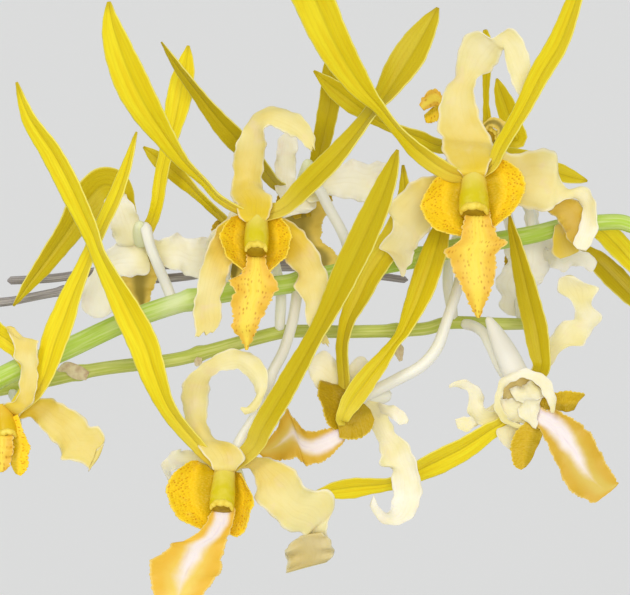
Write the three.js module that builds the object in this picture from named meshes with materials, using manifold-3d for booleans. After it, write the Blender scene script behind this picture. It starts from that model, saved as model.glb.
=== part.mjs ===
// Potted dendrobium orchid: a clay pot of bark with five leafy canes and two flower stalks, which
// carry a spray of twelve blooms with upright twisted petals. Millimetres, +Z up, and the origin
// is the middle of the pot's flat bottom.
import * as THREE from "three";
import { mergeVertices } from "three/addons/utils/BufferGeometryUtils.js";
import Module from "manifold-3d";

const wasm = await Module();
wasm.setup();

// Pot
const POT_HEIGHT = 105;
const POT_RADIUS = 62; // outside, under the rim band
const POT_FOOT_RADIUS = 44; // outside, at the bottom
const POT_WALL = 5;
const POT_FLOOR = 7;
const POT_SIDES = 24;
const RIM_HEIGHT = 22;
const RIM_OUT = 4; // how far the rim band stands out
const RIM_ROUND = 2; // how much the band's corners are eased
const DRAIN_HOLES = 4;
const DRAIN_RADIUS = 5;
const DRAIN_CIRCLE = 25; // radius of the circle that the holes are on

// Bark mix
const BARK_TOP = 92;
const BARK_MOUND = 3; // how much higher its middle is
const CHIPS = 8;
const CHIP_SIZE = [26, 15, 10]; // of a middling one
const CHIP_RANGE = [0.75, 1.15]; // sizes, as shares of that
const CHIP_TILT = 0.9;
const CHIP_SEED = 2719;
const GOLDEN_ANGLE = Math.PI * (3 - Math.sqrt(5));

// How far a needless corner may be from the surface that is left without it
const ROUGH = 0.15; // before pieces are cut back from each other
const FINE = 0.005; // after that

// Gap between pieces that touch
const SEAT = 0.3;

// Canes
const CANE_RADII = [3.2, 5.6, 7, 5.6, 2.6]; // from the foot up
const CANE_SIDES = 6;
const CANE_STEPS = 6;

// Leaves
const LEAF_LENGTH = 85; // reach of the longest
const LEAF_WIDTH = 25;
const LEAF_THICK = 1.2;
const LEAF_DROOP = 0.42; // how far the tip hangs down, as a share of its length
const LEAF_FOLD = 0.35; // how far an edge stands up, as a share of half the width
const LEAF_STRAY = 9; // degrees
const LAST_LEAF = 0.98; // where the last leaf is, as a share of the cane
const LENGTH_RANGE = [0.78, 1]; // from the end leaves to the middle ones
const RISE_RANGE = [0.6, 0.98]; // how steeply a leaf starts, from the foot to the top
const LEAF_SHARES = [0, 0.25, 0.6, 1]; // stations along a leaf
const LEAF_WIDTHS = [0.3, 0.95, 0.95, 0.08]; // share of the width at each station

// Spray: its places are given in millimetres across, down and back on an upright sheet that
// leans a little, read from one metre in front of it
const SPRAY_MIDDLE = new THREE.Vector3(165, -20, 395);
const SHEET_HALF_WIDTH = 52.5;
const SHEET_HALF_HEIGHT = 49.6;
const READ_FROM = 1000;
const SHEET_LEAN = THREE.MathUtils.degToRad(5.5);

// Petals, sepals and lips
const BLADE_THICK = 0.9;
const BLADE_STEPS = 7; // at most
const TIP_WIDTH = 0.4; // at least
const CUP_LEVEL = 0.4; // share of the cup that the middle lies behind the blade's path
const FULL_WAVE = 4; // width from which on the edges wave in full
const ROOT_WIDTH = 2.2; // where a petal or sepal meets its bloom's middle
const STEM_SIDES = 6;
const FIRST_SIDE = new THREE.Vector3(0.3, 0.86, 0.4).normalize(); // where a stem's rings begin
const PETAL = { cup: 0.16, wave: 0, cycles: 0 };
const SEPAL = { cup: 0.06, wave: 0.55, cycles: 2.5 };
const LIP = { cup: 0.1, wave: 0.35, cycles: 3.5 };
const SIDE_LOBE = { cup: 0.2, wave: 0.3, cycles: 2.5 };

const material = (color, roughness) => new THREE.MeshStandardMaterial({ color, roughness, metalness: 0 });
const CLAY = material("#b5673f", 0.85);
const BARK = material("#5a3d28", 0.95);
const LEAF = material("#4f7a2c", 0.5);
const STALK = material("#7fa33a", 0.5);
const OLD_STALK = material("#a69a90", 0.8);
const GOLD = material("#e3c51e", 0.45);
const CREAM = material("#f3e9b4", 0.5);
const ORANGE = material("#f0b52c", 0.45);

// A place on the spray's sheet, as a point in space
const TO_BACK = new THREE.Vector3(0, Math.cos(SHEET_LEAN), -Math.sin(SHEET_LEAN));
const TO_TOP = new THREE.Vector3(0, Math.sin(SHEET_LEAN), Math.cos(SHEET_LEAN));
function spot([across, down, back]) {
  const spread = 1 + back / READ_FROM;
  const point = SPRAY_MIDDLE.clone();
  point.x += (across - SHEET_HALF_WIDTH) * spread;
  point.addScaledVector(TO_TOP, (SHEET_HALF_HEIGHT - down) * spread);
  return point.addScaledVector(TO_BACK, back);
}

// Closed skin over a row of rings. Opposite faces of a flat ring are split alike.
function loft(rings) {
  const sides = rings[0].length;
  const vertices = rings.flat().flatMap((point) => point.toArray());
  const faces = [];
  for (let i = 0; i < rings.length - 1; i++) {
    for (let j = 0; j < sides; j++) {
      const next = (j + 1) % sides;
      const [a, b, c, d] = [i * sides + j, i * sides + next, (i + 1) * sides + next, (i + 1) * sides + j];
      if (j < sides / 2) faces.push(a, b, c, a, c, d);
      else faces.push(a, b, d, b, c, d);
    }
  }
  const last = (rings.length - 1) * sides;
  for (let k = 0; k < sides / 2 - 1; k++) {
    const [a, b, c, d] = [k, k + 1, sides - 2 - k, sides - 1 - k];
    faces.push(a, c, b, a, d, c);
    faces.push(last + a, last + b, last + c, last + a, last + c, last + d);
  }
  return solid(vertices, faces);
}

// Signed volume of a closed mesh, which is below zero where its faces point in
function signedVolume(vertices, faces) {
  const corner = (k) => new THREE.Vector3().fromArray(vertices, faces[k] * 3);
  let volume = 0;
  for (let k = 0; k < faces.length; k += 3) {
    volume += corner(k).dot(corner(k + 1).cross(corner(k + 2))) / 6;
  }
  return volume;
}

function solid(vertices, faces) {
  const outward = signedVolume(vertices, faces) > 0 ? faces : faces.toReversed();
  return new wasm.Manifold(new wasm.Mesh({
    numProp: 3,
    vertProperties: new Float32Array(vertices),
    triVerts: new Uint32Array(outward),
  }));
}

function solidOf(geometry, matrix = new THREE.Matrix4()) {
  const plain = geometry.clone().applyMatrix4(matrix);
  plain.deleteAttribute("normal");
  plain.deleteAttribute("uv");
  const merged = mergeVertices(plain, 1e-4);
  return solid([...merged.getAttribute("position").array], [...merged.getIndex().array]);
}

const join = (solids) => wasm.Manifold.union(solids);

// Curve through rows of numbers, read off at even steps
function along(rows, steps) {
  const places = new THREE.CatmullRomCurve3(rows.map((row) => spot(row)), false, "catmullrom");
  const sizes = rows.map((row) => new THREE.Vector3(row[3], row[4] ?? 0, 0));
  const look = new THREE.CatmullRomCurve3(sizes, false, "catmullrom");
  return Array.from({ length: steps + 1 }, (_, i) => {
    const size = look.getPoint(i / steps);
    return {
      t: i / steps,
      point: places.getPoint(i / steps),
      tangent: places.getTangent(i / steps),
      size: Math.max(size.x, TIP_WIDTH),
      turn: THREE.MathUtils.degToRad(size.y),
    };
  });
}

// Thin blade along rows of [across, down, back, width, turn]. It faces the front where its turn
// is zero. Its edges stand forward by the cup and go in and out by the wave.
function blade(rows, shape, grow = 0) {
  const stations = along(rows, Math.min(rows.length - 1, BLADE_STEPS));
  const rings = stations.map(({ t, point, tangent, size, turn }) => {
    const side = TO_BACK.clone().cross(tangent).normalize();
    const front = side.clone().cross(tangent).normalize();
    if (front.dot(TO_BACK) > 0) front.negate();
    const wide = side.clone().multiplyScalar(Math.cos(turn)).addScaledVector(front, Math.sin(turn));
    const face = wide.clone().cross(tangent).normalize();
    if (face.dot(front) < 0) face.negate();
    const half = size / 2 + grow;
    const ripple = shape.wave * Math.min(1, size / FULL_WAVE) * Math.sin(Math.PI * t);
    const lift = [-1, 0, 1].map((s) => {
      const wave = ripple * s * Math.sin(2 * Math.PI * shape.cycles * t + s);
      return shape.cup * size * (Math.abs(s) - CUP_LEVEL) + wave;
    });
    const at = (s, out) =>
      point.clone().addScaledVector(wide, s * half).addScaledVector(face, lift[s + 1] + out);
    const thick = BLADE_THICK / 2 + grow;
    return [at(-1, thick), at(0, thick), at(1, thick), at(1, -thick), at(0, -thick), at(-1, -thick)];
  });
  return loft(rings);
}

// Round stem through points with a radius each
function stem(points, radii, sides, steps, grow = 0) {
  const path = new THREE.CatmullRomCurve3(points, false, "catmullrom");
  const sizes = new THREE.CatmullRomCurve3(radii.map((radius) => new THREE.Vector3(radius, 0, 0)));
  const across = FIRST_SIDE.clone();
  const rings = Array.from({ length: steps + 1 }, (_, i) => {
    const middle = path.getPoint(i / steps);
    const ahead = path.getTangent(i / steps);
    across.addScaledVector(ahead, -across.dot(ahead)).normalize();
    const up = ahead.clone().cross(across);
    const radius = sizes.getPoint(i / steps).x + grow;
    return Array.from({ length: sides }, (__, j) => {
      const angle = (2 * Math.PI * j) / sides;
      return middle.clone()
        .addScaledVector(across, radius * Math.cos(angle))
        .addScaledVector(up, radius * Math.sin(angle));
    });
  });
  return loft(rings);
}

// Round stem along rows of [across, down, back, radius]
function tube(rows, grow = 0) {
  return stem(rows.map((row) => spot(row)), rows.map((row) => row[3]), STEM_SIDES, rows.length - 1, grow);
}

// Flower stalks: they leave the first cane near its top and then run through the spray
const FOOT_EXTRA = 0.2; // how much thicker a stalk is before the spray
const FRONT_STALK_START = [[27, -12, 322], [34, -15, 331], [50, -18, 345], [72, -20, 358], [93, -20.5, 370]];
const FRONT_STALK = [
  [0, 63, 0, 1.75], [10, 58.7, 0, 1.75], [21.7, 53.3, 0, 1.7], [31.7, 50, 0, 1.7],
  [40, 48.4, 0, 1.65], [48.3, 47.3, 0, 1.65], [55.8, 45.6, 0, 1.6], [68.3, 43.3, 0, 1.6],
  [75.8, 41.4, 0, 1.6], [88.3, 39.2, 0, 1.5], [94, 37.8, 0, 1.4], [102, 37, 0, 1.35],
  [105.3, 37.6, 0, 1.3], [110, 39.6, 0.5, 1.1], [113.5, 42.5, 1, 0.8],
];
const BACK_STALK_START = [[29.5, -8.6, 335], [45, -9, 354], [63, -11, 365], [87, -12.5, 374]];
const BACK_STALK = [
  [0, 64.8, 7, 1.25], [7.5, 63.4, 7, 1.25], [16.7, 61.5, 7, 1.15], [28.3, 60.1, 7, 1.15],
  [34.2, 58.7, 7, 1.15], [45.8, 55.6, 7, 1.15], [50, 55.2, 7, 1.1], [58.3, 55.3, 7, 1.1],
  [70, 54.9, 7, 1.1], [75, 53.8, 7, 1.1], [83.3, 54, 7, 1.05], [90, 54, 7, 0.9],
];
const OLD_STALK_START = [[21, -6, 294], [27, 2, 312], [42, 8, 342], [66, 9, 368], [95, 6, 388]];
const OLD_STALK_LONG = [
  [3, 50, 28, 0.75], [10.7, 48.5, 28, 0.75], [20, 47, 28, 0.75], [30, 46.2, 29, 0.75],
  [39, 45, 32, 0.7], [50, 44.6, 34, 0.7], [60, 45.6, 36, 0.7], [68, 46.7, 38, 0.6],
];
const OLD_STALK_SHORT = [
  [1.2, 46.8, 28, 0.7], [9.5, 46.3, 28, 0.75], [20, 44.7, 30, 0.75], [32, 44, 32.5, 0.75],
  [46, 43.6, 34.4, 0.6], [52, 44.7, 34.6, 0.5],
];
const BUDS = [
  [[112, 39.8, 0.5, 1], [113.5, 38, 0, 1.9], [115.5, 36, -0.5, 1.7], [117, 34.4, -1, 0.5]],
  [[113.2, 42.2, 1, 0.8], [115.5, 42.8, 0.8, 1.6], [118, 44.2, 0.4, 1.4], [119.6, 45.6, 0, 0.4]],
  [[113.4, 42.6, 1, 0.7], [114, 45, 1.4, 1.3], [114.8, 47.6, 1.8, 1.1], [115.4, 49.2, 2, 0.4]],
];

// Blooms. A blade's rows are [across, down, back, width, turn], towards its tip, and a tube's rows
// are [across, down, back, radius]. Petals grow from the column, and sepals from the spur's foot.
const BLOOMS = {
  c: {
    petals: [
      [[37, 33.3, -11, 2.6, 60], [34, 30.2, -13, 2.6, 64], [30.5, 26.8, -15, 3.6, 55],
        [27, 22, -17.5, 5, 40], [24, 17.3, -20, 6.2, 30], [21.3, 11.7, -22, 6.4, 27],
        [19, 5, -24, 4.4, 33], [18.2, 0.3, -25, 0.8, 40]],
      [[47.2, 34.7, -10, 3.2, 35], [50.8, 31.3, -11.5, 4.4, 35], [55, 27.2, -13, 4.6, 38],
        [58.7, 23, -13.5, 4.2, 50], [62, 18.8, -14, 4.2, 64], [64.3, 15.8, -14, 4.8, 48],
        [66.7, 12, -13.5, 6, 30], [69.2, 8, -13, 6.2, 28], [71.7, 3.7, -12.5, 3.4, 35],
        [73, 1.3, -12, 0.6, 35]],
    ],
    column: [[42.8, 34.8, -8.5, 1.7], [42.8, 38, -11, 1.9], [42.7, 41.2, -13, 1.8]],
    sepals: [
      [[42, 31.3, -6.5, 5.8, 0], [41.7, 27, -6, 5.6, 5], [42.2, 23, -6.5, 5, 15],
        [43.5, 19.9, -7.5, 3.8, 35], [45.8, 18.5, -8.5, 3.4, 10], [48.3, 19.1, -9.5, 3.7, 0],
        [50.6, 21.4, -10.5, 3.6, -10], [52, 24.6, -11.5, 2, 0]],
      [[37.6, 39.8, -8, 4, 0], [36.1, 43, -9, 4.6, 0], [35.3, 47.6, -10, 5.2, -10],
        [34.9, 51.3, -11, 4.4, 0], [34.4, 54.1, -12, 3.6, 0], [33.4, 56.2, -12.5, 1.4, 0]],
      [[48, 39.6, -8, 4.2, 0], [50.4, 43.6, -9, 5.2, 0], [52.2, 47.6, -10, 5.4, 10],
        [53, 51, -11, 4.4, 0], [52.2, 54.6, -12, 1.8, 0]],
    ],
    lip: [[42.7, 43.2, -12.3, 2.4, 0], [42.5, 44.9, -12.8, 3.6, 0], [42.3, 47.2, -13.3, 7.6, 0],
      [42, 49.8, -13.8, 6.8, 0], [41.6, 52.6, -13.8, 5, 0], [41.2, 55.5, -13, 3, 0],
      [41.1, 58.2, -12, 0.6, 0]],
    lobes: [
      [[42.2, 44.9, -12.6, 1.8, 0], [39.4, 43, -12.5, 3.2, -15], [38.6, 40.4, -12, 3.5, -20],
        [38.9, 38.2, -11.3, 2.8, -15], [39.8, 37, -10.6, 1, 0]],
      [[42.9, 44.9, -12.6, 1.8, 0], [46.2, 43, -12.5, 3.2, 15], [47, 40.4, -12, 3.5, 20],
        [46.7, 38.2, -11.3, 2.8, 15], [45.8, 37, -10.6, 1, 0]],
    ],
    stems: [
      [[43, 36.2, -6.5, 1.6], [44.4, 40, -2.5, 1.4], [46.2, 43.9, -0.3, 0.7]],
      [[43, 36.4, -6, 1], [44.3, 39.4, 1, 0.9], [45.8, 44, 4.2, 0.9], [46.8, 49, 5, 0.9],
        [46.7, 53, 5.8, 0.9], [46.6, 55.2, 6.6, 0.8]],
    ],
  },
  d: {
    petals: [
      [[32.7, 73.8, -11.5, 3.4, 45], [28.3, 68.3, -13.5, 4.2, 50], [25.8, 62.5, -15, 5.4, 36],
        [24.2, 57.5, -16, 5.8, 30], [21.8, 52.5, -17, 5.6, 32], [19.5, 48, -18, 5, 42],
        [16.7, 42.4, -19, 4.4, 58], [15.3, 38.7, -19.5, 4.4, 50], [12.3, 32.2, -21, 5, 42],
        [9, 25.8, -22, 4.8, 42], [5, 19.7, -23, 3.4, 45], [2.8, 13.7, -24, 0.6, 45]],
      [[42, 74.8, -11.5, 3.4, 25], [43.8, 71.3, -13, 4, 25], [47, 66, -14, 4.2, 30],
        [50, 60.8, -15, 4.2, 38], [52.7, 56, -16, 4, 50], [55.3, 51, -17, 4.6, 40],
        [57.7, 45.8, -18, 5.2, 32], [60.5, 40, -19, 5.4, 30], [63.2, 34, -20, 5, 35],
        [65.2, 28.7, -21, 3.2, 35], [66.3, 25, -22, 0.6, 35]],
    ],
    column: [[38, 76.8, -9.5, 1.9], [37.4, 80.5, -13, 2], [36.5, 84.4, -15, 2]],
    sepals: [
      [[35.7, 74.7, -7, 4, 0], [33.6, 71.7, -7, 4.2, 0], [32.7, 68.3, -7, 4.4, 0],
        [33, 65.3, -7.5, 4.2, 0], [34.5, 62.5, -8.5, 3.8, 0], [37, 60.7, -9.5, 3.4, 0],
        [40, 60.1, -10.5, 3.2, 0], [42.5, 61.1, -11.5, 2.8, 0], [44, 63.3, -12, 2.3, 0],
        [44.2, 65.7, -12.5, 2.2, 0], [43.3, 67.1, -13, 1.7, 0], [41.7, 67.5, -13, 0.8, 0]],
      [[33, 76.5, -6, 4.2, 10], [30, 76.3, -4, 4.4, 20], [27.9, 77.6, -1, 3.6, 20],
        [27.2, 80.5, 1.5, 3, 10], [27.6, 83.8, 2.5, 1, 0]],
      [[43.2, 79.6, -9.5, 5.2, 0], [46.7, 81.7, -11.5, 6.6, 5], [49.7, 83.9, -12.5, 7.2, 5],
        [51.4, 86.6, -12.5, 7.2, 0], [51.8, 89.3, -11, 6.4, 0], [51.4, 91.3, -8, 7.2, 0],
        [51, 93.6, -6.5, 8, 0], [50.4, 95.8, -7.5, 3.6, 0]],
    ],
    lip: [[36.2, 86.4, -14, 3.4, 0], [35.2, 88.3, -16.5, 5.2, 0], [33.7, 90.8, -18.5, 7, 0],
      [31.9, 93.6, -20, 10.2, 0], [30.4, 96.4, -21, 11, 0], [29.2, 99.2, -21.5, 7.8, 0],
      [28.1, 102, -21, 5, 0], [27.5, 104.2, -20, 0.8, 0]],
    lobes: [
      [[36.4, 87.4, -14.6, 2.2, 0], [33, 85.8, -14.6, 4.6, -15], [30.7, 82.4, -14.5, 6.2, -20],
        [31.4, 79.4, -13.8, 5.4, -15], [33.6, 77.9, -12, 2.2, 0]],
      [[36.6, 87.6, -14.6, 2, 0], [40, 86.5, -15, 3.2, 15], [41, 83.8, -15, 3.2, 20],
        [40.8, 81.2, -14.5, 2.6, 15], [40.3, 79.4, -13, 1, 0]],
    ],
    stems: [
      [[38.2, 77.4, -7, 1.8], [39.6, 81.4, -4, 1.6], [40.6, 84.6, -1.5, 0.8]],
      [[38.3, 77.4, -6.5, 1], [40, 73.5, -6.3, 0.9], [42.5, 69.5, -5.5, 0.9], [44.3, 65.5, -5, 0.9],
        [45.5, 62, -4, 0.9], [47.3, 58.5, -3, 0.9], [48.7, 54, -1.6, 0.9], [49.4, 50.2, -0.8, 0.9],
        [49.6, 48, 0, 0.9]],
    ],
  },
  e: {
    petals: [
      [[74.7, 28.6, -15, 3.4, 38], [70.2, 25.5, -17, 3.8, 43], [66.7, 22, -19, 3.2, 60],
        [63.4, 18, -21, 3.2, 58], [59.8, 13.8, -23, 5, 35], [55.8, 7.3, -26, 6.6, 28],
        [52.5, 0, -28, 7.2, 25], [49.3, -6.5, -30, 6.6, 25], [46.5, -12, -31, 3.8, 25],
        [44.8, -16, -32, 0.6, 25]],
      [[82, 27.6, -14.5, 2.6, 45], [83.7, 24.3, -16.5, 3.4, 50], [87, 18.7, -19.5, 3.8, 50],
        [90.3, 12.2, -22, 4.6, 42], [93.3, 7.2, -24, 4.8, 45], [96, 0, -26, 3.8, 50],
        [97.5, -5.5, -27, 1, 50]],
    ],
    column: [[79, 28, -12.5, 1.9], [79, 31.5, -15.5, 2.2], [79, 35, -17.5, 2.3]],
    sepals: [
      [[78.2, 25.3, -11, 8, 0], [77.4, 22.3, -10, 7.8, 0], [76.6, 19.2, -9.5, 6.4, 0],
        [76.4, 16, -9, 5.4, 0], [77.2, 13.2, -9, 4.8, 0], [78.3, 10.5, -9.5, 4.4, 0],
        [80.2, 8.1, -10.5, 4.2, 5], [82.9, 6.9, -12, 3.6, 15], [85.3, 7.9, -13.2, 3.4, 0],
        [86.6, 10.2, -14, 3.6, 0], [87.1, 13.5, -14.5, 3, 0], [87, 16.4, -14.5, 1.4, 0],
        [86.8, 18.2, -14.5, 0.5, 0]],
      [[73.2, 31.8, -11, 5.4, 0], [69.8, 34.2, -10, 7.2, 0], [67.5, 37, -9.5, 7.6, 0],
        [66, 40, -9.5, 6.4, 0], [66.1, 43, -10, 4.4, 10], [66.9, 46, -11, 1, 10]],
      [[84.6, 29.4, -10.5, 6.6, 0], [88.3, 30.2, -9.5, 9.2, 0], [91.5, 31, -9.5, 8.8, 0],
        [94.7, 33, -10.5, 6.4, 10], [97.2, 35.5, -12, 5.2, 10], [98.3, 38.8, -13, 4, 0],
        [97, 41.4, -13.5, 3, 0], [94.9, 42.1, -13.5, 1, 0]],
    ],
    lip: [[79.8, 37.6, -17.6, 3.6, 0], [79.8, 39, -18.8, 5.6, 0], [79.5, 41.2, -19.5, 10, 0],
      [79, 43.8, -20, 7.8, 0], [79.2, 46.8, -20, 6.4, 0], [79.8, 49.8, -19.5, 4, 0],
      [80.1, 53, -18.5, 0.6, 0]],
    lobes: [
      [[79.2, 38.9, -18.2, 2.2, 0], [75.2, 37.2, -17.5, 3.6, -15], [73, 34.7, -17, 5, -20],
        [73.1, 32.2, -16.2, 4.4, -15], [74.3, 30.5, -15.5, 1.8, 0]],
      [[80.2, 38.9, -18.2, 2.2, 0], [83.4, 36.4, -17.5, 3.6, 15], [84.9, 33.4, -17.2, 5, 20],
        [85.3, 30.6, -16.6, 4.6, 15], [85, 28.2, -16, 2, 0]],
    ],
    stems: [
      [[79.2, 29.4, -11, 2], [80.3, 33.4, -7.5, 1.7], [80.8, 36.6, -5, 0.8]],
      [[79.1, 29.4, -10.5, 1], [79.3, 32.6, -3, 0.9], [77.5, 37, 2.6, 0.9], [75.2, 42, 4.4, 0.9],
        [74.6, 47, 5.2, 0.9], [75.3, 51.6, 6.4, 0.9], [75.5, 53.6, 7, 0.8]],
    ],
  },
  a: {
    petals: [
      [[5.3, 66.4, -8.2, 2.4, 40], [7.3, 63, -8.8, 4, 40], [9.2, 57, -9.2, 5.2, 30],
        [10.7, 53, -9.6, 5, 33], [12.3, 48.7, -10, 4.4, 40], [14.8, 43, -10.5, 3.8, 56],
        [17.2, 37.5, -11, 3.6, 50], [19.5, 32.5, -12, 3.6, 48], [21.3, 27.5, -13, 2.6, 50],
        [22.8, 22, -14, 0.5, 50]],
      [[2.4, 64.5, -4.2, 2.4, 45], [2.2, 59.6, -3.6, 3, 40], [0.3, 55.8, -4, 3.4, 30],
        [-3, 51.5, -5, 4.4, 25], [-7, 46, -6, 5, 25], [-10.5, 40, -7, 3.8, 25],
        [-12.8, 34.5, -8, 0.6, 25]],
    ],
    column: [[1.8, 68.4, -6.5, 1.5], [1.7, 70.6, -8.2, 1.5]],
    sepals: [
      [[4.2, 66.8, -6, 3.4, 0], [4.8, 63.5, -6.3, 3.4, 0], [4.9, 60.5, -6.5, 3.6, 0],
        [4.3, 57.8, -6.7, 4.4, 0], [2.6, 55.9, -7, 2.6, 0], [1, 55, -7.5, 0.8, 0]],
      [[6, 68.9, -5.5, 4.4, 0], [9, 70.3, -6, 6.4, 0], [12, 72.3, -7, 7.8, 0], [14.5, 74.5, -8, 6.8, 0],
        [16.3, 76.3, -8.5, 2.6, 0]],
      [[-1.5, 71.5, -5, 4.6, 0], [-4, 75, -6, 5.4, 0], [-5.5, 79.5, -8, 4.6, 0],
        [-5.8, 83, -9, 1.2, 0]],
    ],
    lip: [[1.6, 72.2, -8.2, 3, 0], [1.5, 73.8, -9, 5.4, 0], [1.7, 76, -9.5, 6, 0], [1.9, 78, -9.5, 4.2, 0],
      [2, 79.8, -9, 0.8, 0]],
    lobes: [
      [[1.9, 73, -8.4, 1.6, 0], [3.7, 73.3, -8.6, 2.8, 15], [4.7, 71.3, -8.4, 2.8, 20],
        [4.4, 69.7, -8, 1.2, 0]],
      [[1.3, 73, -8.4, 1.6, 0], [-0.5, 73.3, -8.6, 2.8, -15], [-1.5, 71.3, -8.4, 2.8, -20],
        [-1.2, 69.7, -8, 1.2, 0]],
    ],
    stems: [
      [[2, 69, -4.5, 1.5], [2.2, 71.6, -2.5, 1.4], [2.4, 73.6, -1, 0.7]],
      [[2.2, 69, -4, 1], [2.6, 67.6, -1.5, 0.8], [2.6, 66.6, 2.5, 0.8], [2, 65.4, 6.2, 0.8]],
    ],
  },
  b: {
    petals: [
      [[26, 35, 19.5, 2.2, 20], [27, 29, 18.5, 2.8, 35], [28.2, 24, 18, 2.8, 30],
        [29.3, 19.5, 17.5, 4.2, 25], [30.2, 15, 17, 4.6, 15], [31, 10.8, 16.5, 3.2, 15],
        [31.4, 7.6, 16, 0.5, 15]],
      [[21.4, 36, 19, 5.4, 0], [18.6, 33.2, 17.5, 6.8, 10], [15, 34.2, 16.5, 5.8, 20],
        [11.3, 38.5, 15.5, 4.6, 25], [7.7, 43.5, 15, 3.8, 30], [4.6, 47.6, 14.5, 2.2, 30],
        [2.2, 51, 14, 0.4, 30]],
    ],
    column: [[23.7, 40, 21.5, 1.7], [23.7, 41.5, 26.5, 1.7]],
    sepals: [
      [[20.8, 37.2, 22, 3.8, 0], [18, 33.4, 23, 4, 0], [15.5, 30.8, 22.5, 3.4, 0],
        [13.4, 30.5, 21.5, 1, 0]],
      [[21, 42.5, 18, 6.4, 0], [19.2, 45, 18, 6, 0], [17.5, 48, 18, 5.2, 0], [16.2, 51, 18.5, 4.4, 0],
        [15.8, 53, 19, 1.4, 0]],
      [[27, 41.5, 18, 5.8, 0], [30, 42.2, 18, 5.6, 0], [33, 43.5, 18.5, 5, 0],
        [35.5, 45.2, 19, 1.6, 0]],
    ],
    lip: [[23.7, 43.4, 25.5, 3, 0], [23.5, 45.5, 26, 5, 0], [23.3, 48.5, 25.5, 6, 0], [23.2, 51, 24.5, 4, 0],
      [23.1, 53.5, 24, 0.8, 0]],
    lobes: [
      [[23.4, 44, 25.8, 1.8, 0], [21.3, 43.8, 26.5, 3, 0], [20.6, 41.8, 28, 2.6, 0],
        [21, 40.4, 28, 1, 0]],
      [[24, 44, 25.8, 1.8, 0], [26.1, 43.8, 26.5, 3, 0], [26.8, 41.8, 28, 2.6, 0],
        [26.4, 40.4, 28, 1, 0]],
    ],
    stems: [
      [[23.7, 40.6, 18.5, 1.8], [23.4, 38.5, 15.5, 1.3], [23.3, 37, 14, 0.8]],
      [[23.8, 40, 18.2, 1], [24.2, 38, 15, 1], [25, 41, 12, 0.9], [26.4, 44.5, 8, 0.9],
        [27.8, 47.8, 3.5, 0.9], [28.8, 50.4, 0, 0.9]],
    ],
  },
  f: {
    petals: [
      [[46.3, 30.8, 19, 2.4, 40], [43.5, 27.6, 13, 3.2, 45], [40, 23.8, 10, 4.4, 30],
        [36.5, 20, 8.5, 3.8, 35], [33, 15.5, 8, 3, 50], [30, 11.5, 7.5, 2.4, 50],
        [26.9, 7, 7, 0.4, 50]],
      [[52.4, 28.2, 21, 2.4, 20], [53.4, 25, 18, 3.2, 20], [54.3, 20.8, 14, 3.6, 20],
        [55.1, 16.5, 13, 3.8, 20], [55.2, 12, 12, 3.2, 20], [54.8, 8.5, 11.5, 0.6, 20]],
    ],
    column: [[50.3, 31.7, 23, 1.7], [50.5, 33, 28, 1.7]],
    sepals: [
      [[48.2, 28.5, 21, 3.8, 0], [47.6, 25, 20, 3.8, 0], [47.6, 21.5, 19, 3.6, 0],
        [48.3, 18.5, 18, 1.4, 0]],
      [[47, 34.2, 21, 5, 0], [44.8, 36.8, 21.5, 5, 0], [43.9, 39.5, 22, 3.6, 0], [44, 42, 22.5, 1, 0]],
      [[54, 30.5, 19, 5.6, 0], [57, 30.2, 18, 6.4, 0], [60, 30.5, 18, 6.2, 0], [63, 30, 18.5, 5, 0],
        [65.5, 28.8, 19, 1.2, 0]],
    ],
    lip: [[50.5, 34.9, 27, 3, 0], [51.2, 36.8, 27, 5, 0], [52.3, 39.5, 26.6, 4.6, 0], [54, 42, 26, 4, 0],
      [55.3, 44.3, 25.5, 1.4, 0]],
    lobes: [
      [[50.3, 35.4, 27, 1.8, 0], [48, 35.2, 27.5, 3, 0], [47.4, 33.2, 29, 2.6, 0],
        [47.9, 31.8, 29, 1, 0]],
      [[50.8, 35.4, 27, 1.8, 0], [53.4, 34.4, 27.5, 3, 0], [53.9, 32.2, 29, 2.6, 0],
        [53.2, 30.8, 29, 1, 0]],
    ],
    stems: [
      [[50.6, 31.6, 20, 1.7], [51.2, 28.6, 16, 1.3], [51.4, 26.6, 14.5, 0.8]],
      [[50.6, 31.6, 19.5, 1], [52, 30.6, 16, 0.9], [53.3, 31.8, 14, 0.9], [55, 35, 11, 0.9],
        [57, 38.6, 7.5, 0.9], [58, 41.5, 4, 0.9], [58, 44.8, 0.5, 0.9]],
    ],
  },
  g: {
    petals: [
      [[73.3, 24.3, 9.5, 2.8, 30], [69.7, 22.8, 8, 2.8, 30], [66.3, 21.5, 6.5, 2.4, 48],
        [63.3, 20.2, 5.5, 2.4, 50], [60.5, 18.3, 5, 3.2, 30], [58, 16.4, 4.5, 4.2, 20],
        [55, 14.1, 4, 2.8, 20], [52.3, 11.8, 3.5, 0.4, 20]],
      [[83, 23.5, 11.5, 2.8, 20], [87, 23.3, 10, 3.6, 20], [91, 25.5, 9, 4, 20], [94.5, 28, 8.5, 3, 20],
        [97.9, 30.2, 8, 0.4, 20]],
    ],
    column: [[78.3, 25, 15, 1.6], [77.8, 23.8, 19, 1.6]],
    sepals: [
      [[79, 29, 12.5, 3.8, 0], [80, 32.5, 12.5, 3.6, 0], [81, 35.5, 12, 2.6, 0],
        [81.5, 37.5, 12, 0.8, 0]],
      [[75, 28.5, 13, 4, 0], [73.5, 31.5, 13.5, 3.6, 0], [73, 34, 13.5, 1, 0]],
      [[79.8, 21.5, 13, 3.6, 0], [79.5, 18.5, 14, 3.2, 0], [79, 16.5, 14, 0.8, 0]],
    ],
    lip: [[76.4, 22.2, 18.4, 2.4, 0], [74.6, 20.2, 18, 4, 0], [73, 18.2, 18, 5, 0],
      [71.7, 16.7, 17.5, 4.6, 0], [70.5, 15.4, 17, 1.6, 0]],
    lobes: [
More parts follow.
